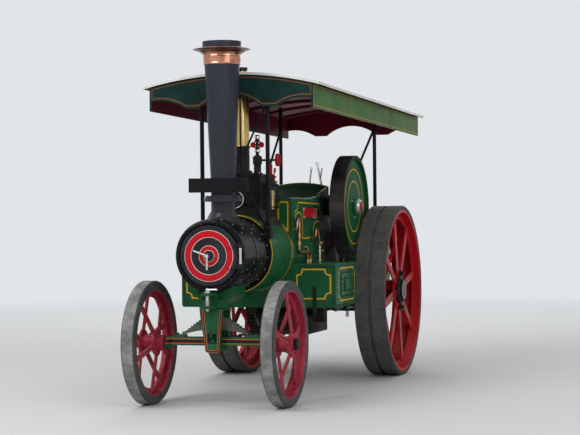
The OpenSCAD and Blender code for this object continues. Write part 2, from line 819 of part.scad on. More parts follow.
module front_wheel() {
    spoke_foot = 78;
    spoke_head = front_web_r + 30;
    foot_u = front_flange_gap / 2;
    head_u = (front_web_t + front_spoke_t) / 2 - 1;
    lean = atan((foot_u - head_u) / (spoke_head - spoke_foot));
    spoke_l = norm([foot_u - head_u, spoke_head - spoke_foot]);
    difference() {
        union() {
            turned_x([
                [front_rim_r - front_rim_t, -front_rim_w / 2], [front_rim_r, -front_rim_w / 2],
                [front_rim_r, front_rim_w / 2], [front_rim_r - front_rim_t, front_rim_w / 2],
                [front_rim_r - front_rim_t, front_web_t / 2], [front_web_r, front_web_t / 2],
                [front_web_r, -front_web_t / 2], [front_rim_r - front_rim_t, -front_web_t / 2]
            ]);
            turned_x([
                [0, -front_hub_tail], [front_hub_r, -front_hub_tail], [front_hub_r, -foot_u - 7],
                [front_flange_r, -foot_u - 7], [front_flange_r, -foot_u + 7], [front_hub_r, -foot_u + 7],
                [front_hub_r, foot_u - 7], [front_flange_r, foot_u - 7], [front_flange_r, foot_u + 7],
                [front_hub_r, foot_u + 7], [front_hub_r - 6, front_nose], [0, front_nose]
            ]);
            for (i = [0 : front_spokes - 1]) {
                side = i % 2 == 0 ? 1 : -1;
                rotate([360 / front_spokes * i, 0, 0]) translate([side * foot_u, 0, spoke_foot]) {
                    rotate([0, -side * lean, 0]) translate([-front_spoke_t / 2, -front_spoke_w / 2, 0]) {
                        cube([front_spoke_t, front_spoke_w, spoke_l]);
                    }
                }
            }
            bar_x(front_nose - cut, front_cap_l + cut, front_cap_r, $fn = 8);
        }
        bar_x(-front_hub_tail - cut, front_hub_tail + front_nose + cut, stub_r + running);
    }
}

module front_tyre() {
    bevel = 9;
    turned_x([
        [front_rim_r + seat, -front_tyre_w / 2], [front_r - bevel, -front_tyre_w / 2],
        [front_r, bevel - front_tyre_w / 2], [front_r, front_tyre_w / 2 - bevel],
        [front_r - bevel, front_tyre_w / 2], [front_rim_r + seat, front_tyre_w / 2]
    ]);
}

module rear_wheel() {
    spoke_foot = rear_hub_r + 15;
    spoke_head = rear_web_r + 22;
    spoke_u = rear_flange_u + 7;
    difference() {
        union() {
            turned_x([
                [rear_rim_r - rear_rim_t, -rear_rim_w / 2], [rear_rim_r, -rear_rim_w / 2],
                [rear_rim_r, rear_rim_w / 2], [rear_rim_r - rear_rim_t, rear_rim_w / 2],
                [rear_rim_r - rear_rim_t, rear_web_u + rear_web_t / 2],
                [rear_web_r, rear_web_u + rear_web_t / 2], [rear_web_r, rear_web_u - rear_web_t / 2],
                [rear_rim_r - rear_rim_t, rear_web_u - rear_web_t / 2],
                [rear_rim_r - rear_rim_t, rear_web_t / 2 - rear_web_u],
                [rear_web_r, rear_web_t / 2 - rear_web_u], [rear_web_r, -rear_web_t / 2 - rear_web_u],
                [rear_rim_r - rear_rim_t, -rear_web_t / 2 - rear_web_u]
            ]);
            turned_x([
                [0, -rear_hub_end], [rear_hub_r, -rear_hub_end], [rear_hub_r, -rear_flange_u - 7],
                [rear_flange_r, -rear_flange_u - 7], [rear_flange_r, 7 - rear_flange_u],
                [rear_hub_r, 7 - rear_flange_u], [rear_hub_r, rear_flange_u - 7],
                [rear_flange_r, rear_flange_u - 7], [rear_flange_r, rear_flange_u + 7],
                [0, rear_flange_u + 7]
            ]);
            for (i = [0 : rear_spokes - 1]) {
                side = i % 2 == 0 ? 1 : -1;
                rotate([360 / rear_spokes * (i + 0.5), 0, 0]) {
                    translate([side * spoke_u - rear_spoke_t / 2, -rear_spoke_w / 2, spoke_foot]) {
                        cube([rear_spoke_t, rear_spoke_w, spoke_head - spoke_foot]);
                    }
                }
            }
        }
        bar_x(-rear_hub_end - cut, 2 * rear_hub_end, rear_axle_r + running);
    }
}

module rear_tyre() {
    groove_hw = 15;
    groove_d = 20;
    bevel = 8;
    turned_x([
        [rear_rim_r + seat, -rear_tyre_w / 2], [rear_r - bevel, -rear_tyre_w / 2],
        [rear_r, bevel - rear_tyre_w / 2], [rear_r, -groove_hw], [rear_r - groove_d, -groove_hw + 3],
        [rear_r - groove_d, groove_hw - 3], [rear_r, groove_hw], [rear_r, rear_tyre_w / 2 - bevel],
        [rear_r - bevel, rear_tyre_w / 2], [rear_rim_r + seat, rear_tyre_w / 2]
    ]);
}

// The black hub cap of a rear wheel, with its driving arms and pins
module rear_hub() {
    face = rear_flange_u + 7 + rear_spoke_t;
    arm_r = 28;
    pin_at = 150;
    difference() {
        union() {
            turned_x([
                [0, face + seat], [120, face + seat], [120, face + 16], [108, face + 26],
                [92, face + 28], [92, rear_cap_end - 6], [84, rear_cap_end], [0, rear_cap_end]
            ]);
            for (side = [-1, 1]) {
                translate([0, 0, side * pin_at]) bar_x(face + seat, 24, arm_r);
            }
            translate([face + seat, -arm_r + 4, -pin_at]) cube([16, 2 * arm_r - 8, 2 * pin_at]);
        }
        bar_x(0, rear_cap_end - 20 + seat, rear_axle_r + running);
    }
}

// Puts a wheel on its axle; the engine's right-hand wheels are mirrored
module wheel_at(track, y, z, side) {
    from_axle() translate([side * track / 2, y, z]) mirror([side < 0 ? 1 : 0, 0, 0]) children();
}

module front_wheel_left() {
    color("#b3203a") wheel_at(front_track, 0, axle_z, 1) front_wheel();
}

module front_wheel_right() {
    color("#b3203a") wheel_at(front_track, 0, axle_z, -1) front_wheel();
}

module front_tyre_left() {
    color("#6d6c6a") wheel_at(front_track, 0, axle_z, 1) front_tyre();
}

module front_tyre_right() {
    color("#6d6c6a") wheel_at(front_track, 0, axle_z, -1) front_tyre();
}

module rear_wheel_left() {
    color("#c01c2c") wheel_at(rear_track, rear_axle_y, rear_axle_z, 1) rear_wheel();
}

module rear_wheel_right() {
    color("#c01c2c") wheel_at(rear_track, rear_axle_y, rear_axle_z, -1) rear_wheel();
}

module rear_tyre_left() {
    color("#3b3a39") wheel_at(rear_track, rear_axle_y, rear_axle_z, 1) rear_tyre();
}

module rear_tyre_right() {
    color("#3b3a39") wheel_at(rear_track, rear_axle_y, rear_axle_z, -1) rear_tyre();
}

module rear_hub_left() {
    color("#141517") wheel_at(rear_track, rear_axle_y, rear_axle_z, 1) rear_hub();
}

module rear_hub_right() {
    color("#141517") wheel_at(rear_track, rear_axle_y, rear_axle_z, -1) rear_hub();
}

module rear_axle() {
    axle_hw = rear_track / 2 + rear_cap_end - 20;
    color("#5a5c5e") from_axle() translate([0, rear_axle_y, rear_axle_z]) {
        bar_x(-axle_hw, 2 * axle_hw, rear_axle_r);
    }
}

// Turn of a gear so that its teeth fall in the gaps of the one that it faces
function meshed(angle, phase, teeth, next_teeth) =
    angle + 180 + ((angle - phase) / (360 / teeth)) * (360 / next_teeth) - 180 / next_teeth;

// Both gears of the second shaft and the large gear of the rear axle
module gear_train() {
    to_axle = atan2(rear_axle_z - second_z, rear_axle_y - second_y);
    final_phase = meshed(to_axle, 0, pinion_teeth, final_teeth);
    final_rim = final_teeth * final_module / 2 - 60;
    color("#2a2c2e") from_axle() {
        translate([0, second_y, second_z]) {
            along_x(-second_gear_x - second_gear_w, second_gear_w) difference() {
                gear_outline(second_teeth, first_module);
                for (i = [0 : 5]) {
                    rotate(60 * i) translate([180, 0]) circle(70);
                }
            }
            along_x(-final_gear_x - final_gear_w - 5, final_gear_w + 10) {
                gear_outline(pinion_teeth, final_module);
            }
            bar_x(-final_gear_x - final_gear_w - 15, final_gear_x + final_gear_w + 15 + boss_x, second_r);
        }
        translate([0, rear_axle_y, rear_axle_z]) along_x(-final_gear_x - final_gear_w, final_gear_w) {
            rotate(final_phase) difference() {
                gear_outline(final_teeth, final_module);
                for (i = [0 : 5]) {
                    rotate(60 * i) translate([(final_rim + 110) / 2, 0]) circle(95);
                }
                circle(rear_axle_r + seat);
            }
        }
    }
}

module crankshaft() {
    pinion_x = 430;
    shaft_end = flywheel_x + flywheel_w + 40;
    color("#8a1f22") from_axle() translate([0, crank_y, crank_z]) {
        bar_x(-pinion_x - 70, pinion_x + 70 + shaft_end + 15, crank_r);
        along_x(-pinion_x - 60, 60) gear_outline(crank_teeth, first_module);
    }
}

module flywheel() {
    disc_x = flywheel_x + flywheel_w - 45;
    disc_t = 22;
    rim_r = flywheel_r - flywheel_rim_t;
    eye_r = 70 + seat;
    color("#1f5a35") from_axle() translate([0, crank_y, crank_z]) turned_x([
        [eye_r, disc_x], [rim_r, disc_x], [rim_r, flywheel_x], [flywheel_r, flywheel_x],
        [flywheel_r, flywheel_x + flywheel_w], [rim_r, flywheel_x + flywheel_w],
        [rim_r, disc_x + disc_t], [eye_r, disc_x + disc_t]
    ]);
}

module flywheel_hub() {
    color("#1f5a35") from_axle() translate([0, crank_y, crank_z]) turned_x([
        [crank_r + seat, flywheel_x - 13], [70, flywheel_x - 13], [70, flywheel_x + flywheel_w + 20],
        [58, flywheel_x + flywheel_w + 40], [crank_r + seat, flywheel_x + flywheel_w + 40]
    ]);
}

module tender_outline(hw, front, end, corner) {
    translate([-hw, front]) square([2 * hw, end - front - corner]);
    translate([corner - hw, end - corner - cut]) square([2 * (hw - corner), corner + cut]);
    for (side = [-1, 1]) {
        translate([side * (hw - corner), end - corner]) circle(corner);
    }
}

module tender() {
    neck_hw = horn_inner - seat;
    neck_top_z = floor_z + 390;
    color("#1f5a35") from_axle() {
        difference() {
            translate([0, 0, tank_z]) linear_extrude(tender_top_z - tank_z) {
                tender_outline(tender_hw, tender_y, tender_end, tender_corner_r);
            }
            translate([0, 0, bunker_floor_z]) linear_extrude(tender_top_z) intersection() {
                tender_outline(tender_hw - tender_t, tender_y, tender_end - tender_t, tender_corner_r - tender_t);
                translate([-tender_hw, bunker_y]) square([2 * tender_hw, tender_len]);
            }
            translate([tender_t - tender_hw, tender_y - cut, floor_z]) {
                cube([2 * (tender_hw - tender_t), bunker_y - tender_y - tender_t + cut, tender_top_z]);
            }
        }
        translate([-neck_hw, horn_end - 120, tank_z]) {
            cube([2 * neck_hw, tender_y - horn_end + 120 + cut, floor_z - tank_z]);
        }
        both_sides() {
            translate([neck_hw - tender_t, horn_end - 60, floor_z - cut]) {
                cube([tender_t, tender_y - horn_end + 60 + tender_t, neck_top_z - floor_z + cut]);
            }
            translate([neck_hw - tender_t, tender_y, floor_z - cut]) {
                cube([tender_hw - neck_hw, tender_t, neck_top_z - floor_z + cut]);
            }
        }
    }
}

module drawbar() {
    lug_hw = 55;
    lug_t = 30;
    low_z = tank_z - 80;
    eye_y = tender_end + 70;
    color("#1a1c1e") from_axle() difference() {
        union() {
            translate([-140, tender_end + seat, low_z]) cube([280, 20, 160]);
            for (z = [low_z, low_z + 120 - lug_t]) {
                translate([-lug_hw, tender_end + 10, z]) cube([2 * lug_hw, eye_y - tender_end - 10, lug_t]);
                translate([0, eye_y, z]) cylinder(h = lug_t, r = lug_hw);
            }
        }
        translate([0, eye_y, low_z - cut]) cylinder(h = 200, r = 20);
    }
}

// Places what is drawn in the canopy's own frame, with the roof's fall
module in_canopy() {
    from_axle() translate([0, canopy_front_y, eave_z]) rotate([-roof_fall, 0, 0]) children();
}

// All that lies under the roof's inner face, less a seat's clearance
module under_roof() {
    along_y(-roof_len, 3 * roof_len) {
        translate([0, roof_centre]) circle(roof_r - seat, $fn = 256);
    }
}

module canopy_roof() {
    hole = [0, block_y + 60 - canopy_front_y];
    color("#d9d9d6") in_canopy() difference() {
        along_y(0, roof_len) intersection() {
            difference() {
                translate([0, roof_centre]) circle(roof_r + roof_t, $fn = 256);
                translate([0, roof_centre]) circle(roof_r, $fn = 256);
            }
            translate([-canopy_hw, -roof_t]) square([2 * canopy_hw, roof_high + 2 * roof_t]);
        }
        translate([hole[0], hole[1], -roof_r]) cylinder(h = 2 * roof_r, r = 52);
    }
}

module canopy_boards() {
    board_t = 18;
    side_h = 175;
    drop = 158;
    front_lip = 20;
    corner_x = canopy_hw - eave_lip - board_t;
    mid_hw = 255;
    mid_rise = 95;
    mid_r = (mid_hw * mid_hw + mid_rise * mid_rise) / (2 * mid_rise);
    bay_x = 590;
    bay_hw = 215;
    bay_rise = 65;
    bay_r = (bay_hw * bay_hw + bay_rise * bay_rise) / (2 * bay_rise);
    color("#24593a") in_canopy() {
        for (y = [front_lip, roof_len - board_t - 30]) {
            along_y(y, board_t) difference() {
                intersection() {
                    translate([-corner_x - cut, -drop]) square([2 * (corner_x + cut), drop + roof_high]);
                    translate([0, roof_centre]) circle(roof_r - seat, $fn = 256);
                }
                translate([0, mid_rise - drop - mid_r]) circle(mid_r);
                for (side = [-1, 1]) {
                    translate([side * bay_x, bay_rise - drop - bay_r]) circle(bay_r);
                }
            }
        }
        both_sides() intersection() {
            translate([corner_x, front_lip - 4, -side_h]) {
                cube([board_t, roof_len - front_lip - 24, side_h + roof_high]);
            }
            under_roof();
        }
    }
}

module front_posts() {
    foot_z = boiler_z + post_foot_h;
    toe_z = boiler_z + 120;
    stay_y = block_y - 100;
    high = [40, stay_y, block_top_z + stay_h];
    low = [40, stay_y, block_top_z - 15];
    x = front_post[0];
    y = front_post[1];
    color("#16181a") from_axle() intersection() {
        both_sides() difference() {
            union() {
                translate([x, y, foot_z]) cylinder(h = 2 * roof_r, r = post_r);
                translate([x - 30, y - 34, toe_z]) cube([60, 68, foot_z - toe_z]);
                bent_pipe([[x, y - 10, eave_z - 125], high, low, [x - 18, y - 20, foot_z - 14]], 8) {
                    bar_y(-11, 22, 12);
                }
            }
            barrel_space();
            smokebox_space();
        }
        translate([0, canopy_front_y, eave_z]) rotate([-roof_fall, 0, 0]) under_roof();
    }
}

module rear_posts() {
    x = rear_post[0];
    y = rear_post[1];
    stay_foot = [flywheel_x - 33, crank_y + 240, crank_z + 95];
    lug_z = crank_z + 80;
    color("#16181a") from_axle() intersection() {
        both_sides() {
            translate([x, y, floor_z + seat]) cylinder(h = 2 * roof_r, r = post_r);
            rod([x, y, eave_z - 205], stay_foot, 11);
            translate([horn_outer + seat, stay_foot[1] - 25, lug_z]) {
                cube([stay_foot[0] + 12 - horn_outer - seat, 50, 20]);
            }
        }
        translate([0, canopy_front_y, eave_z]) rotate([-roof_fall, 0, 0]) under_roof();
    }
}

module control_levers() {
    shelf_y = crank_y + 177 + seat;
    shelf_z = case_top_z - 10;
    lever_y = shelf_y + 122;
    foot_z = shelf_z + 8;
    color("#c9cdd0") from_axle() {
        translate([10, shelf_y, shelf_z]) cube([210, 200, 14]);
        rod([30, lever_y, foot_z], [66, lever_y, shelf_z + 277], 9);
        rod([184, lever_y, foot_z], [122, lever_y, shelf_z + 325], 10);
        rod([149, lever_y, shelf_z + 188], [168, lever_y, shelf_z + 284], 7);
    }
}

module pipework() {
    pipe_r = 13;
    front_x = case_hw + pipe_r + 17;
    rear_x = case_hw + pipe_r + 37;
    color("#a8643f") from_axle() {
        bent_pipe([
            [case_hw + seat, case_y + 41, tank_top_z + 283], [front_x, case_y + 41, tank_top_z + 283],
            [front_x, case_y + 56, tank_top_z + 366], [front_x, case_y + 110, tank_top_z + 366],
            [front_x, case_y + 96, tank_top_z + 91], [front_x, case_y + 426, tank_top_z + 86],
            [front_x, case_y + 426, tank_top_z + seat]
        ], pipe_r) bar_x(-pipe_r - 4, 2 * pipe_r + 8, pipe_r + 4);
        bent_pipe([
            [case_hw + seat, horn_y - 135, tank_top_z + 213], [rear_x, horn_y - 135, tank_top_z + 213],
            [rear_x, horn_y - 125, tank_top_z + 284], [rear_x, horn_y - 73, tank_top_z + 280],
            [rear_x, horn_y - 20, tank_top_z + 150], [rear_x, horn_y - 20, tank_top_z + seat]
        ], pipe_r) bar_x(-pipe_r - 4, 2 * pipe_r + 8, pipe_r + 4);
    }
}

// Puts the steering shaft's axis on Z, with the worm box at the origin
module along_steering() {
    translate(shaft_foot) rotate([shaft_rake - 90, 0, 0]) children();
}

module steering_box() {
    hanger_x = 180;
    box = 50;
    bearing_at = 800;
    bearing_l = 40;
    color("#1a1c1e") from_axle() difference() {
        union() {
            translate([0, drum_y, drum_z]) {
                bar_x(-hanger_x + 10, 2 * hanger_x - 20, drum_r);
                bar_x(-hanger_x - 10, hanger_x + 10 + steer_x - box + cut, 18);
                translate([steer_x - box, -box, -box]) cube([2 * box, 2 * box, 2 * box]);
            }
            for (x = [-hanger_x, hanger_x, steer_x]) {
                translate([x - 10, drum_y - 30, drum_z - 24]) cube([20, 60, tank_bottom_z - drum_z + 24 - seat]);
            }
            along_steering() translate([0, 0, bearing_at]) {
                cylinder(h = bearing_l, r = steer_rod_r + 12);
                translate([horn_outer + seat - steer_x, -16, 0]) cube([steer_x - horn_outer - seat, 32, bearing_l]);
            }
        }
        along_steering() translate([0, 0, -20]) cylinder(h = bearing_at + 100, r = steer_rod_r + running);
    }
}

// Points along one hanging chain, from the axle's eye back to the drum
function chain_point(t, side) =
    let (front = [side * chain_eye_x, 78, axle_z - 2], back = [side * barrel_pull_x, drum_y, drum_z - drum_r - link_w / 2 - seat - 0.3])
    front + t * (back - front) - [0, 0, 4 * 60 * t * (1 - t)];

module steering_chains() {
    links = 36;
    color("#1a1c1e") from_axle() for (side = [-1, 1], i = [0 : links - 1]) {
        a = chain_point(i / links, side);
        b = chain_point((i + 1) / links, side);
        v = b - a;
        translate(a) rotate([0, acos(v[2] / norm(v)), atan2(v[1], v[0])]) rotate([0, 0, 45 + 90 * (i % 2)]) {
            translate([-link_w / 2, -link_t / 2, -link_lap]) cube([link_w, link_t, norm(v) + 2 * link_lap]);
        }
    }
}

module steering_shaft() {
    color("#3a3d40") from_axle() along_steering() {
        cylinder(h = norm(shaft_head - shaft_foot) + 12, r = steer_rod_r);
    }
}

module steering_wheel() {
    rim_r = 12;
    color("#16181a") from_axle() translate(shaft_head) rotate([shaft_rake - 90, 0, 0]) {
        rotate_extrude() translate([handwheel_r - rim_r, 0]) circle(rim_r);
        difference() {
            union() {
                translate([0, 0, -16]) cylinder(h = 32, r = 34);
                for (i = [0 : 3]) {
                    rotate(90 * i + 45) translate([0, -9, -5]) cube([handwheel_r - rim_r, 18, 10]);
                }
            }
            translate([0, 0, -50]) cylinder(h = 100, r = steer_rod_r + seat);
        }
    }
}

module front_axle() {
    color("#1f5a35") from_axle() difference() {
        union() {
            translate([-beam_hw, -beam_d / 2, beam_top - 65]) cube([2 * beam_hw, beam_d, 65]);
            both_sides() {
                translate([0, 0, axle_z]) bar_x(beam_hw - 20, front_track / 2 + front_nose - beam_hw + 16, stub_r);
                translate([0, 0, axle_z]) bar_x(beam_hw - 30, 30, 50);
                translate([pad_x - 45, -30, beam_top - cut]) cube([90, 60, pad_top - beam_top]);
                translate([chain_eye_x - 10, beam_d / 2 - cut, axle_z - 16]) cube([20, 34, 32]);
            }
        }
        translate([0, -beam_d, axle_z + 17]) rotate([-90, 0, 0]) cylinder(h = 2 * beam_d, r = 16 + seat);
    }
}

module front_fork() {
    window = [28, 62];
    saddle_z = spring_top + seat;
    color("#1f5a35") from_axle() {
        for (y = [-fork_y, fork_y - fork_t]) {
            along_y(y, fork_t) difference() {
                polygon([
                    [-fork_foot_hw, fork_foot_z + 14], [14 - fork_foot_hw, fork_foot_z],
                    [fork_foot_hw - 14, fork_foot_z], [fork_foot_hw, fork_foot_z + 14],
                    [fork_top_hw, turntable_z + cut], [-fork_top_hw, turntable_z + cut]
                ]);
                if (y < 0) {
                    translate([-window[0], axle_z + 12]) square([2 * window[0], window[1]]);
                }
            }
        }
        translate([-fork_top_hw, -fork_y, turntable_z]) cube([2 * fork_top_hw, 2 * fork_y, turntable_t]);
        translate([-50, -46, saddle_z]) cube([100, 92, turntable_z + cut - saddle_z]);
        translate([0, 0, turntable_z]) cylinder(h = turntable_t, r = 110);
        translate([0, 0, turntable_z]) cylinder(h = turntable_t + 55, r = king_r);
        translate([0, 0, axle_z + 17]) bar_y(-fork_y + 10, 2 * fork_y - 20, 16);
    }
}

module leaf_spring() {
    leaf_w = 60;
    shortest = 110;
    color("#5f6a5c") from_axle() {
        for (i = [0 : leaf_count - 1]) {
            half = spring_span - i * (spring_span - shortest) / (leaf_count - 1);
            r = leaf_r + i * leaf_t;
            along_y(-leaf_w / 2, leaf_w) intersection() {
                translate([0, leaf_z]) difference() {
                    circle(r + leaf_t, $fn = 128);
                    circle(r, $fn = 128);
                }
                translate([-half, axle_z]) square([2 * half, 2 * leaf_r]);
            }
        }
    }
}

boiler_barrel();
smokebox();
chimney();
chimney_cap();
number_plate();
cylinder_block();
safety_valve();
governor();
motion_case();
motion_bonnet();
firebox();
hornplates();
belly_tank();
perch_bracket();
tow_pin();
rear_axle();
gear_train();
tender();
drawbar();
canopy_roof();
canopy_boards();
front_posts();
rear_posts();
control_levers();
pipework();
steering_box();
steering_chains();
smokebox_door();
crankshaft();
flywheel();
flywheel_hub();
front_axle();
front_fork();
leaf_spring();
front_wheel_left();
front_tyre_left();
front_wheel_right();
front_tyre_right();
rear_wheel_left();
rear_tyre_left();
rear_hub_left();
rear_wheel_right();
rear_tyre_right();
rear_hub_right();
steering_shaft();
steering_wheel();
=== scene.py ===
import bpy, bmesh, math
from mathutils import Matrix, Vector


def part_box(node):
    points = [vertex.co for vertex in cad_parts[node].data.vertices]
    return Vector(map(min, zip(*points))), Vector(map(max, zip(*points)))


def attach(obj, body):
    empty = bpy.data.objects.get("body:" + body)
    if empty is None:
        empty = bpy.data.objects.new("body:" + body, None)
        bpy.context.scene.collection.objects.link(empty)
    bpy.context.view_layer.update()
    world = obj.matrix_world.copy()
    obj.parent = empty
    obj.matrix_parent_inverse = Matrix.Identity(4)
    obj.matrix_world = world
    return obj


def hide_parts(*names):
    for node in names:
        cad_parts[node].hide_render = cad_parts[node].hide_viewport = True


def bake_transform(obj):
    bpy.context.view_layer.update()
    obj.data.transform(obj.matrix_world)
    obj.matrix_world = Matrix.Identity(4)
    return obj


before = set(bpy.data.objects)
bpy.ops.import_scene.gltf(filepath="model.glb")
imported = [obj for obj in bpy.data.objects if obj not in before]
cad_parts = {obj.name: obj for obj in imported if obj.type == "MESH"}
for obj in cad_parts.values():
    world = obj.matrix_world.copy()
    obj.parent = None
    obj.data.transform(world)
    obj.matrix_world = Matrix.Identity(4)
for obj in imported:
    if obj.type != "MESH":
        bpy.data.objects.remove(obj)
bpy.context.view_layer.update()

# The camera stands at head height, fourteen metres in front and to the left of the
# engine. The floor and the sky are plain and pale, and wide soft lamps light it evenly.
yaw, pitch, roll = -0.2899, -0.0022, -0.0097
ahead = Vector((math.sin(yaw) * math.cos(pitch), math.cos(yaw) * math.cos(pitch), math.sin(pitch)))
across = Vector((math.cos(yaw), -math.sin(yaw), 0))
level = Matrix((across, across.cross(ahead), -ahead)).transposed() @ Matrix.Rotation(roll, 3, "Z")
camera = bpy.data.objects.new("camera", bpy.data.cameras.new("camera"))
camera.data.sensor_width = 36
camera.data.lens = 105.0
camera.data.clip_end = 200
camera.matrix_world = Matrix.Translation((4.2267, -14.044, 1.457)) @ level.to_4x4()
bpy.context.collection.objects.link(camera)
bpy.context.scene.camera = camera
bpy.context.scene.view_settings.view_transform = "Standard"

for name, place, size, power in (("key", (-5, -9, 9), 7, 740), ("fill", (9, -9, 6), 7, 430),
                                 ("top", (0, 1, 10), 8, 170), ("rear", (-3, 10, 7), 8, 330)):
    lamp = bpy.data.objects.new(name, bpy.data.lights.new(name, "AREA"))
    lamp.data.size = size
    lamp.data.energy = power
    lamp.location = place
    lamp.rotation_euler = (Vector((0, 0, 1)) - Vector(place)).to_track_quat("-Z", "Y").to_euler()
    bpy.context.collection.objects.link(lamp)


def wire(tree, *links):
    """Joins sockets; each link names a node, its output, the next node and its input."""
    for source, output, target, socket in links:
        tree.links.new(source.outputs[output], target.inputs[socket])


world = bpy.data.worlds.new("studio")
world.use_nodes = True
bpy.context.scene.world = world
sky = world.node_tree
glow = sky.nodes["Background"]
ray, shine, pick, either, any_of = (sky.nodes.new("ShaderNode" + kind) for kind in (
    "LightPath", "Background", "MixShader", "Math", "Math"))
either.operation = any_of.operation = "MAXIMUM"
glow.inputs["Color"].default_value = (0.92, 0.96, 1, 1)
glow.inputs["Strength"].default_value = 0.45
shine.inputs["Color"].default_value = (0.76, 0.78, 0.8, 1)
wire(sky, (ray, "Is Camera Ray", either, 0), (ray, "Is Transmission Ray", either, 1),
     (ray, "Is Glossy Ray", any_of, 0), (either, 0, any_of, 1), (any_of, 0, pick, 0),
     (glow, 0, pick, 1), (shine, 0, pick, 2), (pick, 0, sky.nodes["World Output"], 0))

ground = bpy.data.meshes.new("floor")
ground.from_pydata([(-60, -60, 0), (60, -60, 0), (60, 60, 0), (-60, 60, 0)], [], [(0, 1, 2, 3)])
floor = bpy.data.objects.new("floor", ground)
bpy.context.collection.objects.link(floor)
concrete = bpy.data.materials.new("pale_floor")
concrete.use_nodes = True
slab = concrete.node_tree
matt = slab.nodes["Principled BSDF"]
matt.inputs["Base Color"].default_value = (0.62, 0.62, 0.61, 1)
matt.inputs["Roughness"].default_value = 0.85
haze, fade, where, apart, spread, eye, held = (slab.nodes.new("ShaderNode" + kind) for kind in (
    "Emission", "MixShader", "TexCoord", "VectorMath", "MapRange", "LightPath", "Math"))
apart.operation, held.operation = "LENGTH", "SUBTRACT"
held.use_clamp = True
haze.inputs["Color"].default_value = shine.inputs["Color"].default_value
spread.inputs["From Min"].default_value = 4
spread.inputs["From Max"].default_value = 15
wire(slab, (where, "Object", apart, 0), (apart, "Value", spread, "Value"), (spread, 0, held, 0),
     (eye, "Is Diffuse Ray", held, 1), (held, 0, fade, 0), (matt, 0, fade, 1), (haze, 0, fade, 2),
     (fade, 0, slab.nodes["Material Output"], 0))
floor.data.materials.append(concrete)


# The boiler barrel is lagged and clad in green enamelled sheet, with a yellow front lip.
# A brass strap closes the cladding at its rear end, between two fine yellow lines.
class Value:
    """A socket of a finish; sums and products of it add Math nodes."""
    def __init__(self, finish, socket):
        self.finish, self.socket = finish, socket

    def math(self, operation, *others, clamp=False):
        return self.finish.node("ShaderNodeMath", {"operation": operation, "use_clamp": clamp},
                                dict(enumerate((self,) + others)))

    def of(self, output):
        return Value(self.finish, self.socket.node.outputs[output])

    def __add__(self, other): return self.math("ADD", other)
    __radd__ = __add__
    def __mul__(self, other): return self.math("MULTIPLY", other)
    __rmul__ = __mul__
    def __sub__(self, other): return self.math("SUBTRACT", other)
    def __rsub__(self, other): return self.math("MULTIPLY", -1) + other
    def __pow__(self, other): return self.math("POWER", other)
    def __lt__(self, other): return self.math("LESS_THAN", other)
    def __gt__(self, other): return self.math("GREATER_THAN", other)
    def __abs__(self): return self.math("ABSOLUTE")
    def clamped(self): return self.math("ADD", 0, clamp=True)


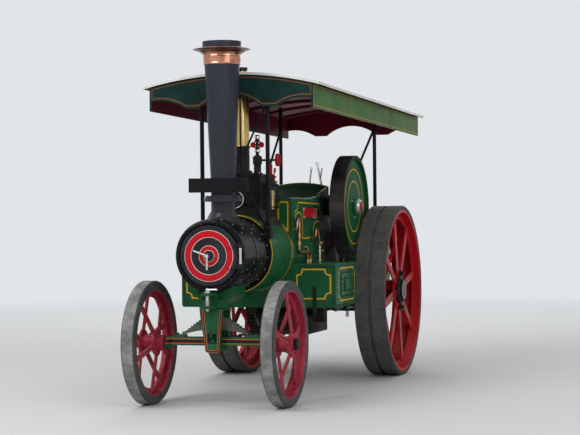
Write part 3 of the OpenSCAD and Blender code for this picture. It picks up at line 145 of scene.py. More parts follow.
class Finish:
    """One material: a coat, and the nodes that vary its colour, gloss and surface."""
    def __init__(self, name):
        self.material = bpy.data.materials.new(name)
        self.material.use_nodes = True
        self.tree = self.material.node_tree
        self.tree.nodes.clear()
        self.coat = self.tree.nodes.new("ShaderNodeBsdfPrincipled")
        out = self.tree.nodes.new("ShaderNodeOutputMaterial")
        self.tree.links.new(self.coat.outputs[0], out.inputs[0])
        self.spot = self.node("ShaderNodeTexCoord", out="Object")
        axes = self.node("ShaderNodeSeparateXYZ", {}, {0: self.spot}, "X")
        self.x, self.y, self.z = axes, axes.of("Y"), axes.of("Z")

    def node(self, kind, settings={}, inputs={}, out=0):
        made = self.tree.nodes.new(kind)
        for key, value in settings.items():
            setattr(made, key, value)
        for key, value in inputs.items():
            self.feed(made.inputs[key], value)
        return Value(self, made.outputs[out])

    def feed(self, socket, value):
        if isinstance(value, Value):
            self.tree.links.new(value.socket, socket)
        elif socket.type == "RGBA":
            socket.default_value = (*value, 1)
        else:
            socket.default_value = value

    def set(self, **values):
        for key, value in values.items():
            self.feed(self.coat.inputs[key.replace("_", " ")], value)

    def mix(self, first, second, share):
        return self.node("ShaderNodeMix", {"data_type": "RGBA", "clamp_factor": True},
                         {0: share, 6: first, 7: second}, 2)

    def laid(self, shade, *layers):
        """A colour with others laid over it, each with the mask that says where."""
        for colour, mask in layers:
            shade = self.mix(shade, colour, mask)
        return shade

    def grain(self, scale, detail=3, stretch=(1, 1, 1), rough=0.55):
        at = self.node("ShaderNodeMapping", {}, {"Vector": self.spot, "Scale": stretch})
        return self.node("ShaderNodeTexNoise", {},
                         {"Vector": at, "Scale": scale, "Detail": detail, "Roughness": rough})

    def range(self, value, low, high, to_low=0.0, to_high=1.0):
        return self.node("ShaderNodeMapRange", {}, {0: value, 1: low, 2: high, 3: to_low, 4: to_high})

    def patchy(self, first, second, scale, detail, low=0.35, high=0.65, stretch=(1, 1, 1)):
        """Two colours that pass into each other in cloudy patches."""
        return self.mix(first, second, self.range(self.grain(scale, detail, stretch), low, high))

    def round_x(self, y, z):
        """The distance from an axis that runs across the engine."""
        return slant(self.y - y, self.z - z)

    def round_y(self, x, z):
        """The distance from an axis that runs along the engine."""
        return slant(self.x - x, self.z - z)

    def facing(self, axis):
        """The part of a face's normal along one axis, from -1 to 1."""
        normal = self.node("ShaderNodeNewGeometry", out="Normal")
        return self.node("ShaderNodeSeparateXYZ", {}, {0: normal}, axis)

    def edge(self, reach=0.004):
        """1 on sharp edges, where paint rubs through, and 0 on flats."""
        bevel = self.node("ShaderNodeBevel", {"samples": 4}, {"Radius": reach})
        flat = self.node("ShaderNodeNewGeometry", out="Normal")
        along = self.node("ShaderNodeVectorMath", {"operation": "DOT_PRODUCT"}, {0: bevel, 1: flat}, "Value")
        return self.range(along, 0.985, 0.93)

    def bump(self, height, strength, distance=0.001):
        self.set(Normal=self.node("ShaderNodeBump", {},
                                  {"Height": height, "Strength": strength, "Distance": distance}))

    def uneven(self, fine, broad, swell, strength, distance=0.001):
        """Fine grain on broad soft waves; each grain is a scale and a detail."""
        self.bump(self.grain(*fine) + self.grain(*broad) * swell, strength, distance)


def slant(a, b):
    """How long two values at right angles are together."""
    return (a ** 2 + b ** 2) ** 0.5


def within(value, low, high):
    """1 where a value lies between two limits, else 0."""
    return (value > low) * (value < high)


def aft(mm):
    """Metres along the engine of a place so many millimetres behind the front axle."""
    return axle_y + mm / 1000


def weather(finish, colour, gloss, dust=0.35, splash=0.5):
    """Adds to a paint what the road leaves on it: dust on top, splashes low down, dull patches."""
    patch = finish.grain(2.3, 4)
    speck = finish.grain(55, 5, rough=0.7)
    settled = finish.range(finish.facing("Z"), 0.35, 1.0) * finish.range(patch, 0.42, 0.7) * dust
    thrown = finish.range(finish.z, 0.9, 0.15) * finish.range(speck, 0.5, 0.72) * splash
    dirty = (settled + thrown).clamped()
    dulled = finish.range(patch, 0.35, 0.7, gloss, gloss + 0.16) + dirty * 0.45
    finish.set(Base_Color=finish.mix(colour, (0.23, 0.2, 0.165), dirty * 0.75),
               Roughness=dulled.clamped(), Specular_IOR_Level=0.03)


def dress(finish, *nodes):
    """Gives CAD nodes their finish."""
    for node in nodes:
        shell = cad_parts[node]
        if not shell.material_slots:
            shell.data.materials.append(finish.material)
        for place in shell.material_slots:
            place.material = finish.material


fork_low, fork_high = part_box("front_fork")
axle_y = (fork_low.y + fork_high.y) / 2
boiler_low, boiler_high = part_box("boiler_barrel")
boiler_z = (boiler_low.z + boiler_high.z) / 2
green, deep_green, yellow = (0.013, 0.105, 0.038), (0.007, 0.062, 0.024), (0.72, 0.45, 0.03)
strap_front, strap_rear, lip_r = 1003, 1031, 0.3005

cladding = Finish("boiler_cladding")
reach = cladding.round_y(0, boiler_z)
strap = within(cladding.y, aft(strap_front), aft(strap_rear))
fine = (abs(cladding.y - aft(strap_front - 9)) < 0.003) + (abs(cladding.y - aft(strap_rear + 9)) < 0.003)
front_face = cladding.y < aft(476)
lip = front_face * within(reach, lip_r, lip_r + 0.007)
sheet = cladding.mix(green, deep_green, cladding.range(cladding.grain(4, 3), 0.35, 0.65) * 0.6)
end = front_face * (reach < lip_r)
sheet = cladding.laid(sheet, (yellow, fine + lip), ((0.012, 0.012, 0.013), end), ((0.62, 0.43, 0.13), strap))
weather(cladding, sheet, 0.2)
cladding.set(Metallic=strap, Coat_Weight=0.12, Coat_Roughness=0.08)
cladding.uneven((40, 2), (5, 2), 4, 0.09)
dress(cladding, "boiler_barrel")


# The smokebox is riveted steel plate in gloss black, with a wrapper strip over its seam.
# Its rivets are set hot in rows round the drum, and the front ring is a pressed flange.
def skin(spots, faces):
    """A mesh from its corners and its faces."""
    mesh = bpy.data.meshes.new("skin")
    mesh.from_pydata(spots, [], faces)
    return mesh


def cast(shape):
    """The plain mesh of a worked shape, which is then let go."""
    mesh = bpy.data.meshes.new("casting")
    shape.to_mesh(mesh)
    shape.free()
    return mesh


def round_faces(rings, sides, closed=False):
    """Faces between rings of corners that follow each other, and back to the first if closed."""
    return [[i * sides + k, i * sides + (k + 1) % sides,
             (i + 1) % rings * sides + (k + 1) % sides, (i + 1) % rings * sides + k]
            for i in range(rings if closed else rings - 1) for k in range(sides)]


def rivet_head(radius, height):
    """A domed rivet head on the ground plane, with its point up."""
    sides, rings = 10, ((1, 0), (0.92, 0.45), (0.6, 0.85))
    corners = [(math.cos(2 * math.pi * i / sides), math.sin(2 * math.pi * i / sides)) for i in range(sides)]
    spots = [(radius * r * x, radius * r * y, height * h) for r, h in rings for x, y in corners]
    crown = [[2 * sides + i, 2 * sides + (i + 1) % sides, 3 * sides] for i in range(sides)]
    return skin(spots + [(0, 0, height)], round_faces(3, sides) + crown + [list(reversed(range(sides)))])


def nut(radius, height):
    """A hexagon nut on a washer on the ground plane, with the end of its stud."""
    shape = bmesh.new()
    for r, low, high, sides, taper in (
            (radius * 1.25, 0, height * 0.15, 12, 1), (radius, height * 0.1, height, 6, 0.92),
            (radius * 0.4, height * 0.9, height * 1.45, 8, 0.92)):
        made = bmesh.ops.create_cone(shape, cap_ends=True, segments=sides, radius1=r, radius2=r * taper,
                                     depth=high - low)
        bmesh.ops.translate(shape, verts=made["verts"], vec=(0, 0, (low + high) / 2))
    return cast(shape)


def aimed(mesh, at, towards, turn=0):
    """A copy of a mesh moved to a place, with its own Z axis turned a given way."""
    copy = mesh.copy()
    way = Vector(towards).to_track_quat("Z", "Y").to_matrix().to_4x4()
    copy.transform(Matrix.Translation(at) @ way @ Matrix.Rotation(turn, 4, "Z"))
    return copy


def repeat_tree():
    """Geometry Nodes that lay out copies of a piece, each turned and moved on from the one before."""
    tree = bpy.data.node_groups.new("repeat", "GeometryNodeTree")
    for label, kind in (("Piece", "Geometry"), ("Copies", "Int"), ("Turn", "Vector"), ("Step", "Vector"),
                        ("Centre", "Vector"), ("Finish", "Material")):
        tree.interface.new_socket(label, in_out="INPUT", socket_type="NodeSocket" + kind)
    tree.interface.new_socket("Result", in_out="OUTPUT", socket_type="NodeSocketGeometry")
    kinds = ("NodeGroupInput", "NodeGroupOutput", "GeometryNodeInputIndex", "GeometryNodePoints",
             "GeometryNodeInstanceOnPoints", "GeometryNodeTransform", "GeometryNodeRealizeInstances",
             "GeometryNodeSetMaterial", "ShaderNodeVectorMath", "ShaderNodeVectorMath")
    source, result, index, points, laid, moved, real, painted, turned, stepped = map(tree.nodes.new, kinds)
    turned.operation = stepped.operation = "SCALE"
    wire(tree, (source, "Turn", turned, 0), (index, 0, turned, "Scale"), (source, "Step", stepped, 0),
         (index, 0, stepped, "Scale"), (source, "Copies", points, "Count"), (stepped, 0, points, "Position"),
         (points, 0, laid, "Points"), (source, "Piece", laid, "Instance"), (turned, 0, laid, "Rotation"),
         (laid, 0, moved, "Geometry"), (source, "Centre", moved, "Translation"), (moved, 0, real, 0),
         (real, 0, painted, "Geometry"), (source, "Finish", painted, "Material"), (painted, 0, result, 0))
    return tree


def repeated(seed, finish, copies, turn=(0, 0, 0), step=(0, 0, 0), centre=(0, 0, 0)):
    """The plain mesh of many copies of a seed mesh, laid out by the repeat tree."""
    stand = bpy.data.objects.new("seed", seed)
    bpy.context.collection.objects.link(stand)
    grower = stand.modifiers.new("grow", "NODES")
    grower.node_group = repeats
    values = {"Copies": copies, "Turn": turn, "Step": step, "Centre": centre, "Finish": finish.material}
    for item in repeats.interface.items_tree:
        if item.name in values:
            grower[item.identifier] = values[item.name]
    stand.update_tag()
    view = bpy.context.evaluated_depsgraph_get()
    mesh = bpy.data.meshes.new_from_object(stand.evaluated_get(view), depsgraph=view)
    stand.modifiers.remove(grower)
    bpy.data.objects.remove(stand)
    return mesh


def piece(name, meshes, finish, body="root", smooth=None):
    """One finished object from one or more meshes, riding on a body unless none is named."""
    joined = bmesh.new()
    for mesh in meshes if isinstance(meshes, list) else [meshes]:
        joined.from_mesh(mesh)
    whole = bpy.data.meshes.new(name)
    for face in joined.faces:
        face.material_index = 0
        face.smooth = smooth is not None
    joined.to_mesh(whole)
    joined.free()
    whole.materials.clear()
    whole.materials.append(finish.material)
    if smooth:
        whole.set_sharp_from_angle(angle=math.radians(smooth))
    made = bpy.data.objects.new(name, whole)
    bpy.context.collection.objects.link(made)
    if body:
        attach(made, body)
    return made


def enamel(name, colour, deep, gloss=0.2, dust=0.35, splash=0.5, chip=(0.05, 0.045, 0.04)):
    """Brushed coach paint over steel, with its colour varying in soft clouds, and rubbed edges."""
    finish = Finish(name)
    cloud = finish.range(finish.grain(4.5, 3), 0.35, 0.65)
    rubbed = finish.edge() * finish.range(finish.grain(34, 4), 0.48, 0.62)
    shade = finish.mix(finish.mix(colour, deep, cloud * 0.55), chip, rubbed * 0.7)
    weather(finish, shade, gloss, dust, splash)
    finish.set(Coat_Weight=0.12, Coat_Roughness=0.08)
    finish.uneven((60, 2), (6, 2), 3, 0.11)
    return finish


repeats = repeat_tree()
up, fore, rear = (0, 0, 1), (0, -1, 0), (0, 1, 0)
smokebox_r, wrapper_y, wrapper_thick = 0.277, 178, 0.003
plate = Finish("smokebox_plate")
weather(plate, plate.patchy((0.004, 0.0045, 0.0055), (0.011, 0.0115, 0.013), 3, 4, 0.4), 0.2, 0.2)
plate.set(Coat_Weight=0.12, Coat_Roughness=0.12)
plate.uneven((40, 3), (7, 2), 3, 0.13)
dress(plate, "smokebox")

black = enamel("gloss_black", (0.007, 0.0075, 0.009), (0.014, 0.014, 0.016), chip=(0.09, 0.085, 0.08))
# The rivet heads are pale grey: partly worn paint, and partly a painted highlight for the glints on their
# domes.
rivet_wear_and_glint = enamel("rivets_worn_and_glinting", (0.16, 0.16, 0.165), (0.045, 0.045, 0.048), 0.2, 0.1, 0.2,
                   chip=(0.4, 0.4, 0.4))
heads = []
for station, first in ((-25, 12), (100, 2), (wrapper_y, 14), (300, 5), (441, 16)):
    foot = smokebox_r - 0.0004 + (wrapper_thick if station == wrapper_y else 0)
    head = aimed(rivet_head(0.0085, 0.0065), (0, 0, foot), up)
    head.transform(Matrix.Rotation(math.radians(first), 4, "Y"))
    heads.append(repeated(head, rivet_wear_and_glint, 18, turn=(0, math.radians(360 / 18), 0),
                          centre=(0, aft(station), boiler_z)))
wrapper = bmesh.new()
bmesh.ops.create_cone(wrapper, segments=96, radius1=smokebox_r + wrapper_thick,
                      radius2=smokebox_r + wrapper_thick, depth=0.056)
piece("smokebox_wrapper", aimed(cast(wrapper), (0, aft(wrapper_y), boiler_z), rear), black, smooth=40)
piece("smokebox_rivets", heads, rivet_wear_and_glint, smooth=40)


# The smokebox door is a dished iron disc in black, hinged on the engine's left. Its two
# red rings have cream edges, and two steel handles screw it tight on a spindle.
def drum(radius, start, end, radius_end=None, sides=24):
    """A round bar or cone from one point to another."""
    start, end = Vector(start), Vector(end)
    shape = bmesh.new()
    bmesh.ops.create_cone(shape, cap_ends=True, segments=sides, radius1=radius,
                          radius2=radius if radius_end is None else radius_end, depth=(end - start).length)
    return aimed(cast(shape), (start + end) / 2, end - start)


def ringed(mesh, centre, radius, towards, angles):
    """Copies of a fastener round a centre at angles in degrees, all facing one way."""
    copies = []
    for a in map(math.radians, angles):
        one, two = radius * math.sin(a), radius * math.cos(a)
        shift = (0, one, two) if towards[0] else (one, 0, two) if towards[1] else (one, two, 0)
        copies.append(aimed(mesh, Vector(centre) + Vector(shift), towards, a))
    return copies


cream, ring_red = (0.72, 0.69, 0.6), (0.5, 0.011, 0.02)
door = Finish("door_paint")
reach = door.round_y(0, boiler_z)
flat = within(door.y, aft(-174), aft(-159.8))
red_rings, cream_edge = ((0.139, 0.194), (0.0415, 0.0795)), 0.0035
edging, filling = (sum(within(reach, low + inset, high - inset) for low, high in red_rings) * flat
                   for inset in (0, cream_edge))
bright = door.y < aft(-185)
shade = door.patchy((0.019, 0.0195, 0.025), (0.034, 0.035, 0.042), 5, 3, 0.4)
shade = door.laid(shade, (cream, edging), (ring_red, filling), ((0.62, 0.62, 0.6), bright))
weather(door, shade, 0.2, 0.3)
door.set(Metallic=bright, Coat_Weight=0.12, Coat_Roughness=0.1)
door.uneven((80, 2), (6, 2), 3, 0.16)
dress(door, "smokebox_door")

steel = Finish("bright_steel")
rubbed = steel.range(steel.grain(60, 4), 0.35, 0.65)
steel.set(Metallic=1.0, Base_Color=steel.patchy((0.6, 0.6, 0.59), (0.34, 0.32, 0.29), 12, 4, 0.5, 0.72),
          Roughness=steel.range(rubbed, 0, 1, 0.2, 0.42))
steel.bump(steel.grain(150, 2), 0.08)

hinge_x, hinge_y = 0.252, aft(-167.3)
straps = [aimed(nut(0.0075, 0.006), (x, aft(-173.2), boiler_z + level), fore, x * 40)
          for level in (-0.08, 0.08) for x in (0.212, 0.236)]
piece("door_hinge_nuts", straps, black, "smokebox_door", 30)
sleeve = [drum(radius, (hinge_x, hinge_y, boiler_z + low), (hinge_x, hinge_y, boiler_z + high))
          for radius, low, high in ((0.0096, -0.052, 0.052), (0.0125, -0.06, -0.052), (0.0125, 0.052, 0.06))]
piece("door_hinge_sleeve", sleeve, steel, smooth=40)
ring_bolts = ringed(nut(0.008, 0.007), (0, aft(-148.2), boiler_z), 0.247, fore,
                    [15 + 30 * k for k in range(12) if k not in (2, 3)])
lugs = [aimed(nut(0.007, 0.006), (hinge_x, hinge_y, boiler_z + level), up) for level in (0.125, -0.133)]
piece("smokebox_ring_bolts", ring_bolts + lugs, black, smooth=30)


# The chimney is a tapered tube of rolled plate in satin blue-black, bolted to a cast
# base. Its cap is spun copper, with rows of small dimples beaten into the band.
foot_top = 1.601
stack = Finish("chimney_paint")
low = stack.z < foot_top
tone = stack.patchy((0.027, 0.029, 0.041), (0.048, 0.05, 0.068), 3, 5, 0.38, 0.68, (1, 1, 0.35))
heat = stack.range(stack.z, 2.6, 2.2) * 0.3
weather(stack, stack.laid(tone, ((0.05, 0.05, 0.056), heat), ((0.023, 0.024, 0.031), low)), 0.22, 0.25)
stack.set(Coat_Weight=stack.range(low, 0, 1, 0.1, 0.4), Coat_Roughness=0.2)
stack.uneven((60, 3), (5, 2), 3, 0.18)
dress(stack, "chimney")
dress(black, "number_plate")
cap_copper = Finish("chimney_copper")
smoked = cap_copper.range(cap_copper.z, 2.688, 2.706)
blotch = cap_copper.range(cap_copper.grain(12, 5), 0.4, 0.7)
bright = cap_copper.mix((0.66, 0.3, 0.19), (0.33, 0.14, 0.09), blotch)
smoky = cap_copper.mix((0.2, 0.11, 0.075), (0.09, 0.06, 0.05), blotch)
cap_copper.set(Metallic=1.0, Base_Color=cap_copper.mix(bright, smoky, smoked),
               Roughness=cap_copper.range(blotch + smoked, 0, 2, 0.14, 0.4))
cap_copper.uneven((110, 2), (16, 2), 5, 0.12)
dress(cap_copper, "chimney_cap")

cap_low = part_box("chimney_cap")[0]
funnel_y = aft(190)
dimple = aimed(rivet_head(0.0046, 0.0026), (0.1430, 0, 0), (1, 0, 0))
dimples = [repeated(dimple, cap_copper, 60, turn=(0, 0, math.radians(6)),
                    centre=(0, funnel_y, cap_low.z + 0.024 + row * 0.0135)) for row in range(3)]
piece("cap_dimples", dimples, cap_copper, smooth=40)
flange_nut = aimed(nut(0.012, 0.014), (0.128, 0, 0), up)
flange_bolts = repeated(flange_nut, black, 10, turn=(0, 0, math.radians(36)), centre=(0, funnel_y, 1.583))
piece("chimney_bolts", flange_bolts, black, smooth=30)
seam_foot, seam_r, seam_flare = 1.746, 0.0972, 0.0448
seam_head, seam_line = rivet_head(0.0055, 0.003), []
for level in (1.80 + k * 0.045 for k in range(18)):
    seam_line.append(aimed(seam_head, (0, funnel_y + seam_r + (level - seam_foot) * seam_flare, level), rear))
piece("chimney_seam_rivets", seam_line, stack, smooth=40)
plate_low, plate_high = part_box("number_plate")
screw_in = 0.02
corners = [aimed(rivet_head(0.007, 0.004), (x, plate_low.y, z), fore)
           for x in (plate_low.x + screw_in, plate_high.x - screw_in)
           for z in (plate_low.z + screw_in, plate_high.z - screw_in)]
piece("number_plate_screws", corners, black, smooth=40)


# The cylinder block is a black iron casting on top of the boiler. Studs hold its covers,
# and its left side carries a ribbed brass strip and a pair of drain cocks. The brass band
# behind it closes the boiler's cladding.
def bar(low, high, chamfer):
    """A block between two corners in metres, with its edges taken off."""
    shape = bmesh.new()
    bmesh.ops.create_cube(shape, size=1)
    bmesh.ops.scale(shape, vec=Vector(high) - Vector(low), verts=shape.verts)
    bmesh.ops.translate(shape, vec=(Vector(high) + Vector(low)) / 2, verts=shape.verts)
    bmesh.ops.bevel(shape, geom=shape.edges[:], offset=chamfer, segments=2, profile=0.5, affect="EDGES")
    return cast(shape)


def round_rim(x, y, z, radius, thick, steps=48, sides=10):
    """A closed ring of round bar that faces forward."""
    spots = []
    for a in (2 * math.pi * i / steps for i in range(steps)):
        for b in (2 * math.pi * k / sides for k in range(sides)):
            out = radius + thick * math.cos(b)
            spots.append((x + out * math.cos(a), y + thick * math.sin(b), z + out * math.sin(a)))
    return skin(spots, round_faces(steps, sides, True))


def metal(name, colour, stain, rough=0.2, scale=9):
    """Polished metal with tarnish in soft patches and fine wiping marks."""
    finish = Finish(name)
    tarnish = finish.range(finish.grain(scale, 5), 0.42, 0.72)
    marks = finish.range(finish.grain(90, 3), 0.35, 0.65)
    finish.set(Metallic=1.0, Base_Color=finish.mix(colour, stain, tarnish * 0.8),
               Roughness=finish.range(marks + tarnish, 0, 2, rough * 0.7, rough * 1.9))
    finish.uneven((140, 2), (14, 2), 4, 0.07)
    return finish


iron = enamel("oily_black", (0.014, 0.0145, 0.016), (0.03, 0.028, 0.026), 0.3, 0.5, chip=(0.1, 0.09, 0.08))
dress(iron, "cylinder_block")
top_nut, side_nut, foot_nut = nut(0.009, 0.009), nut(0.009, 0.010), nut(0.010, 0.010)
studs = [aimed(top_nut, (-0.12 + 0.06 * k, aft(end), 1.767), up, k) for k in range(5) for end in (604, 996)]
for side in (-1, 1):
    out = (side, 0, 0)
    studs += [aimed(top_nut, (side * 0.160, aft(620 + 45 * k), 1.767), up, k) for k in range(9)]
    studs += [aimed(side_nut, (side * 0.215, aft(678 + 48 * k), z), out, k)
              for k in range(6) for z in (1.511, 1.689)]
    studs += [aimed(side_nut, (side * 0.215, aft(end), 1.555 + 0.045 * k), out, k)
              for k in range(3) for end in (674, 926)]
    studs += [aimed(foot_nut, (side * 0.206, aft(622 + 51 * k), 1.378), (side * 0.6, 0, 0.8), k)
              for k in range(8)]
# The round cover hides the rest of these two rings of studs.
studs += ringed(side_nut, (-0.07, aft(573), 1.575), 0.078, fore, (202.5, 247.5, 292.5, 337.5))
studs += ringed(side_nut, (0.088, aft(577), 1.595), 0.05, fore, (30, 90, 150, 210, 330))
piece("block_studs", studs, iron, smooth=30)
cover_x, cover_z = -0.03, 1.574
cover = [drum(0.071, (cover_x, aft(571), cover_z), (cover_x, aft(602), cover_z), sides=48)]
cover += ringed(nut(0.008, 0.008), (cover_x, aft(571), cover_z), 0.05, fore, range(0, 360, 60))
piece("cylinder_cover", cover, iron, smooth=30)
piece("cylinder_cover_rim", round_rim(cover_x, aft(570), cover_z, 0.068, 0.005), steel, smooth=60)
brass = metal("polished_brass", (0.72, 0.53, 0.2), (0.38, 0.26, 0.09))
ribs = [bar((0.2148, aft(752), 1.492), (0.2192, aft(832), 1.645), 0.0015)]
ribs += [bar((0.2185, aft(760), z), (0.2225, aft(824), z + 0.0065), 0.0012)
         for z in (1.502 + 0.0145 * k for k in range(10))]
piece("brass_side_strip", ribs, brass, smooth=40)
band = drum(0.3122, (0, aft(strap_front + 1), boiler_z), (0, aft(strap_rear - 1), boiler_z), sides=128)
piece("boiler_strap", band, brass, smooth=40)
cocks, cock_x = [], 0.168
for level in (1.714, 1.677):
    for radius, y0, z0, x1, y1, z1 in (
            (0.009, 1000, 0, cock_x, 1030, 0), (0.013, 1008, 0, cock_x, 1018, 0),
            (0.006, 1024, 0.012, cock_x, 1024, -0.03), (0.004, 1013, 0, 0.19, 1013, 0.012)):
        cocks.append(drum(radius, (cock_x, aft(y0), level + z0), (x1, aft(y1), level + z1)))
piece("brass_cocks", cocks, brass, smooth=40)
red = enamel("gloss_red", ring_red, (0.32, 0.01, 0.016), 0.22)
handle = [drum(0.006, (0.172, aft(960), 1.76), (0.176, aft(975), 1.802)),
          drum(0.011, (0.1755, aft(974), 1.798), (0.178, aft(978), 1.83), 0.009),
          drum(0.012, (0.172, aft(960), 1.742), (0.172, aft(960), 1.764))]
piece("red_cock_handle", handle, red, smooth=40)


# The safety valve stands in a black base. The brass exhaust column goes up from it
# through the roof. The governor behind has red balls, pale steel caps and a red pulley.
column = Finish("valve_column")
base_top, cap_foot = 1.998, 2.596
painted = (column.z < base_top).math("MAXIMUM", column.z > cap_foot)
tarnish = column.range(column.grain(8, 5, (1, 1, 0.4)), 0.42, 0.7)
worn_brass = column.mix((0.56, 0.41, 0.16), (0.2, 0.15, 0.06), tarnish * 0.8)
column.set(Metallic=column.range(painted, 0, 1, 1, 0), Coat_Weight=painted * 0.1, Specular_IOR_Level=0.1,
           Base_Color=column.mix(worn_brass, (0.008, 0.0085, 0.01), painted),
           Roughness=column.range(tarnish, 0, 1, 0.16, 0.36))
column.uneven((120, 2), (9, 2), 4, 0.08)
dress(column, "safety_valve")
valve_nuts = ringed(nut(0.009, 0.01), (0, aft(660), 1.7928), 0.074, up, range(0, 360, 45))
piece("valve_nuts", valve_nuts, iron, smooth=30)

gov = Finish("governor_paint")
gov_x, gov_y, ball_z = 0.037, aft(950), 2.021
ball = (abs(gov.z - ball_z) < 0.026) * (abs(gov.x - gov_x) > 0.0125)
pulley = (gov.x > 0.19) * (gov.round_x(gov_y, 1.895) > 0.043)
pot = (gov.y > aft(957.5)) * (gov.x > 0.12)
pale = (gov.z > ball_z + 0.044).math("MAXIMUM", within(gov.z, ball_z - 0.058, ball_z - 0.036))
pale = pale * (abs(gov.x - gov_x) < 0.03)
dark = gov.patchy((0.018, 0.018, 0.019), (0.035, 0.033, 0.03), 20, 4, 0.4)
scarlet = (ball + pulley + pot).clamped()
weather(gov, gov.laid(dark, ((0.5, 0.012, 0.018), scarlet), ((0.6, 0.6, 0.58), pale)), 0.22)
gov.set(Metallic=pale, Coat_Weight=0.12)
gov.bump(gov.grain(90, 2), 0.12)
dress(gov, "governor")
base_nuts = ringed(nut(0.006, 0.006), (gov_x, gov_y, 1.789), 0.036, up, range(45, 360, 90))
piece("governor_nuts", base_nuts, steel, smooth=30)


# The motion case and bonnet are sheet steel boxes over the valve gear and crank, in the engine's green; the
# bonnet is darker, a painted reflection of the dark roof. The hornplates beside them are green, and painted
# black behind the flywheel as its painted shadow. Yellow lines with a fine red one outside them panel their
# faces, and the left side has a red plate in a brass rim.
def flank(x):
    """A face across the engine at x metres: where its points in millimetres lie, and its way out."""
    return (lambda u, w: (x, aft(u), w / 1000)), (x, 0, 0)


def end_face(y, way=-1):
    """A face along the engine y millimetres aft: where its points lie, and its way out."""
    return (lambda u, w: (u / 1000, aft(y), w / 1000)), (0, way, 0)


def strip(outline, width, face, shift=0.0):
    """A painted line of a given width along a closed outline in millimetres on a face."""
    spots, count, (place, towards), sharpest = [], len(outline), face, 0.45
    points = [Vector(p) for p in outline]
    for i, point in enumerate(points):
        one, two = (point - points[i - 1]).normalized(), (points[(i + 1) % count] - point).normalized()
        side = Vector((-one.y - two.y, one.x + two.x)).normalized()
        side /= max(sharpest, side.dot(Vector((-one.y, one.x))))
        spots += [place(*(point + side * (shift + width * half))) for half in (-0.5, 0.5)]
    faces = [[2 * i, 2 * ((i + 1) % count), 2 * ((i + 1) % count) + 1, 2 * i + 1] for i in range(count)]
    mesh = skin(spots, faces)
    mesh.update()
    if sum((face.normal for face in mesh.polygons), Vector()).dot(Vector(towards)) < 0:
        mesh.flip_normals()
    return mesh


def arc(centre, radius, start, end, steps=9, flat=1.0):
    """Points on an arc between two angles in degrees."""
    return [(centre[0] + radius * math.cos(a), centre[1] + radius * flat * math.sin(a))
            for a in (math.radians(start + (end - start) * k / steps) for k in range(steps + 1))]


def notched(low, high, hollow=38, step=8):
    """A panel's outline with a small step and a hollow arc at each corner."""
    (left, bottom), (right, top), outline = low, high, []
    for x, y, sx, sy, start in ((right, bottom, 1, -1, 180), (right, top, 1, 1, 270), (left, top, -1, 1, 0),
                                (left, bottom, -1, -1, 90)):
        bend = arc((x - sx * step, y - sy * step), hollow, start, start - 90)
        if sx == sy:
            outline += [(x, bend[0][1]), *bend, (bend[-1][0], y)]
        else:
            outline += [(bend[0][0], y), *bend, (x, bend[-1][1])]
    return outline


def mirrored(outline):
    """An outline as it is on the engine's other side."""
    return [(-u, w) for u, w in reversed(outline)]


def lined(name, outline, face):
    """A yellow line along an outline on one face, and a fine red line outside it."""
    piece(name + "_yellow", strip(outline, 11, face), line_yellow)
    piece(name + "_red", strip(outline, 3.5, face, -10), line_fine)


def beads(radius, spots, sides=8):
    """Round beading through a row of points."""
    return [drum(radius, a, b, sides=sides) for a, b in zip(spots, spots[1:])]


line_yellow = enamel("lining_yellow", yellow, (0.5, 0.3, 0.02), 0.25, 0.2, 0.3, chip=green)
line_fine = enamel("lining_red", (0.2, 0.02, 0.02), (0.1, 0.012, 0.012), 0.25, 0.2, 0.3, chip=green)
paint = enamel("engine_green", green, deep_green, chip=(0.03, 0.035, 0.03))
dress(paint, "motion_case")
# The bonnet's green is darker than the engine's: a painted reflection of the dark roof over it.
bonnet_reflection_paint = enamel("bonnet_green_painted_reflection", (0.013, 0.052, 0.026), (0.009, 0.032, 0.018), 0.45, 0.1, chip=(0.03, 0.035, 0.03))
bonnet_reflection_paint.set(Specular_IOR_Level=0.1, Coat_Weight=0.0)
dress(bonnet_reflection_paint, "motion_bonnet")
horn, painted_shadow_from = Finish("hornplate_paint"), 2028
# The hornplates are green in front; behind the flywheel they are painted black as a painted shadow of the
# flywheel.
painted_flywheel_shadow = horn.patchy((0.013, 0.014, 0.015), (0.03, 0.029, 0.027), 4, 4, 0.4)
weather(horn, horn.mix(painted_flywheel_shadow, horn.patchy(green, deep_green, 4, 3), horn.y < aft(painted_shadow_from)), 0.24, 0.5)
horn.set(Coat_Weight=0.12)
horn.uneven((80, 2), (6, 2), 3, 0.16)
dress(horn, "hornplates")

side_panel = [(1333, 1253), (1668, 1250), (1668, 1318)] + arc((1802, 1318), 134, 180, 8, 12, 0.55)
side_panel += [(1955, 1382), (1936, 1468)] + arc((1938, 1536), 68, 262, 188, 6) + [(1857, 1539), (1223, 1550)]
side_panel += arc((1150, 1550), 66, -8, -74, 6) + [(1131, 1478)]
side_panel += arc((1232, 1405), 103, 172, 0, 12, 0.62) + [(1342, 1327)]
for name, side in (("right", -1), ("left", 1)):
    lined("motion_side_" + name, side_panel, flank(side * 0.3007))
front_panel = [(185, 1395), (265, 1322), (266, 1552), (186, 1553)]
lined("motion_front_left", front_panel, end_face(1033.3))
lined("motion_front_right", mirrored(front_panel), end_face(1033.3))
front, back, foot, top = 1360, 1772, 1.418, 1.510
piece("red_plate", bar((0.2995, aft(front), foot), (0.3045, aft(back), top), 0.0012), red, smooth=30)
rim = [bar((0.304, aft(front), z), (0.3062, aft(back), z + 0.007), 0.001) for z in (foot, top - 0.007)]
rim += [bar((0.304, aft(y), foot), (0.3062, aft(y + 9), top), 0.001) for y in (front, back - 9)]
rim += [aimed(rivet_head(0.0065, 0.004), (0.306, aft(y), z), (1, 0, 0))
        for y in (front + 14, back - 14) for z in (foot + 0.013, top - 0.013)]
piece("red_plate_rim", rim, brass, smooth=40)
case_screws, screw, screw_z = [], rivet_head(0.006, 0.0035), 1.572
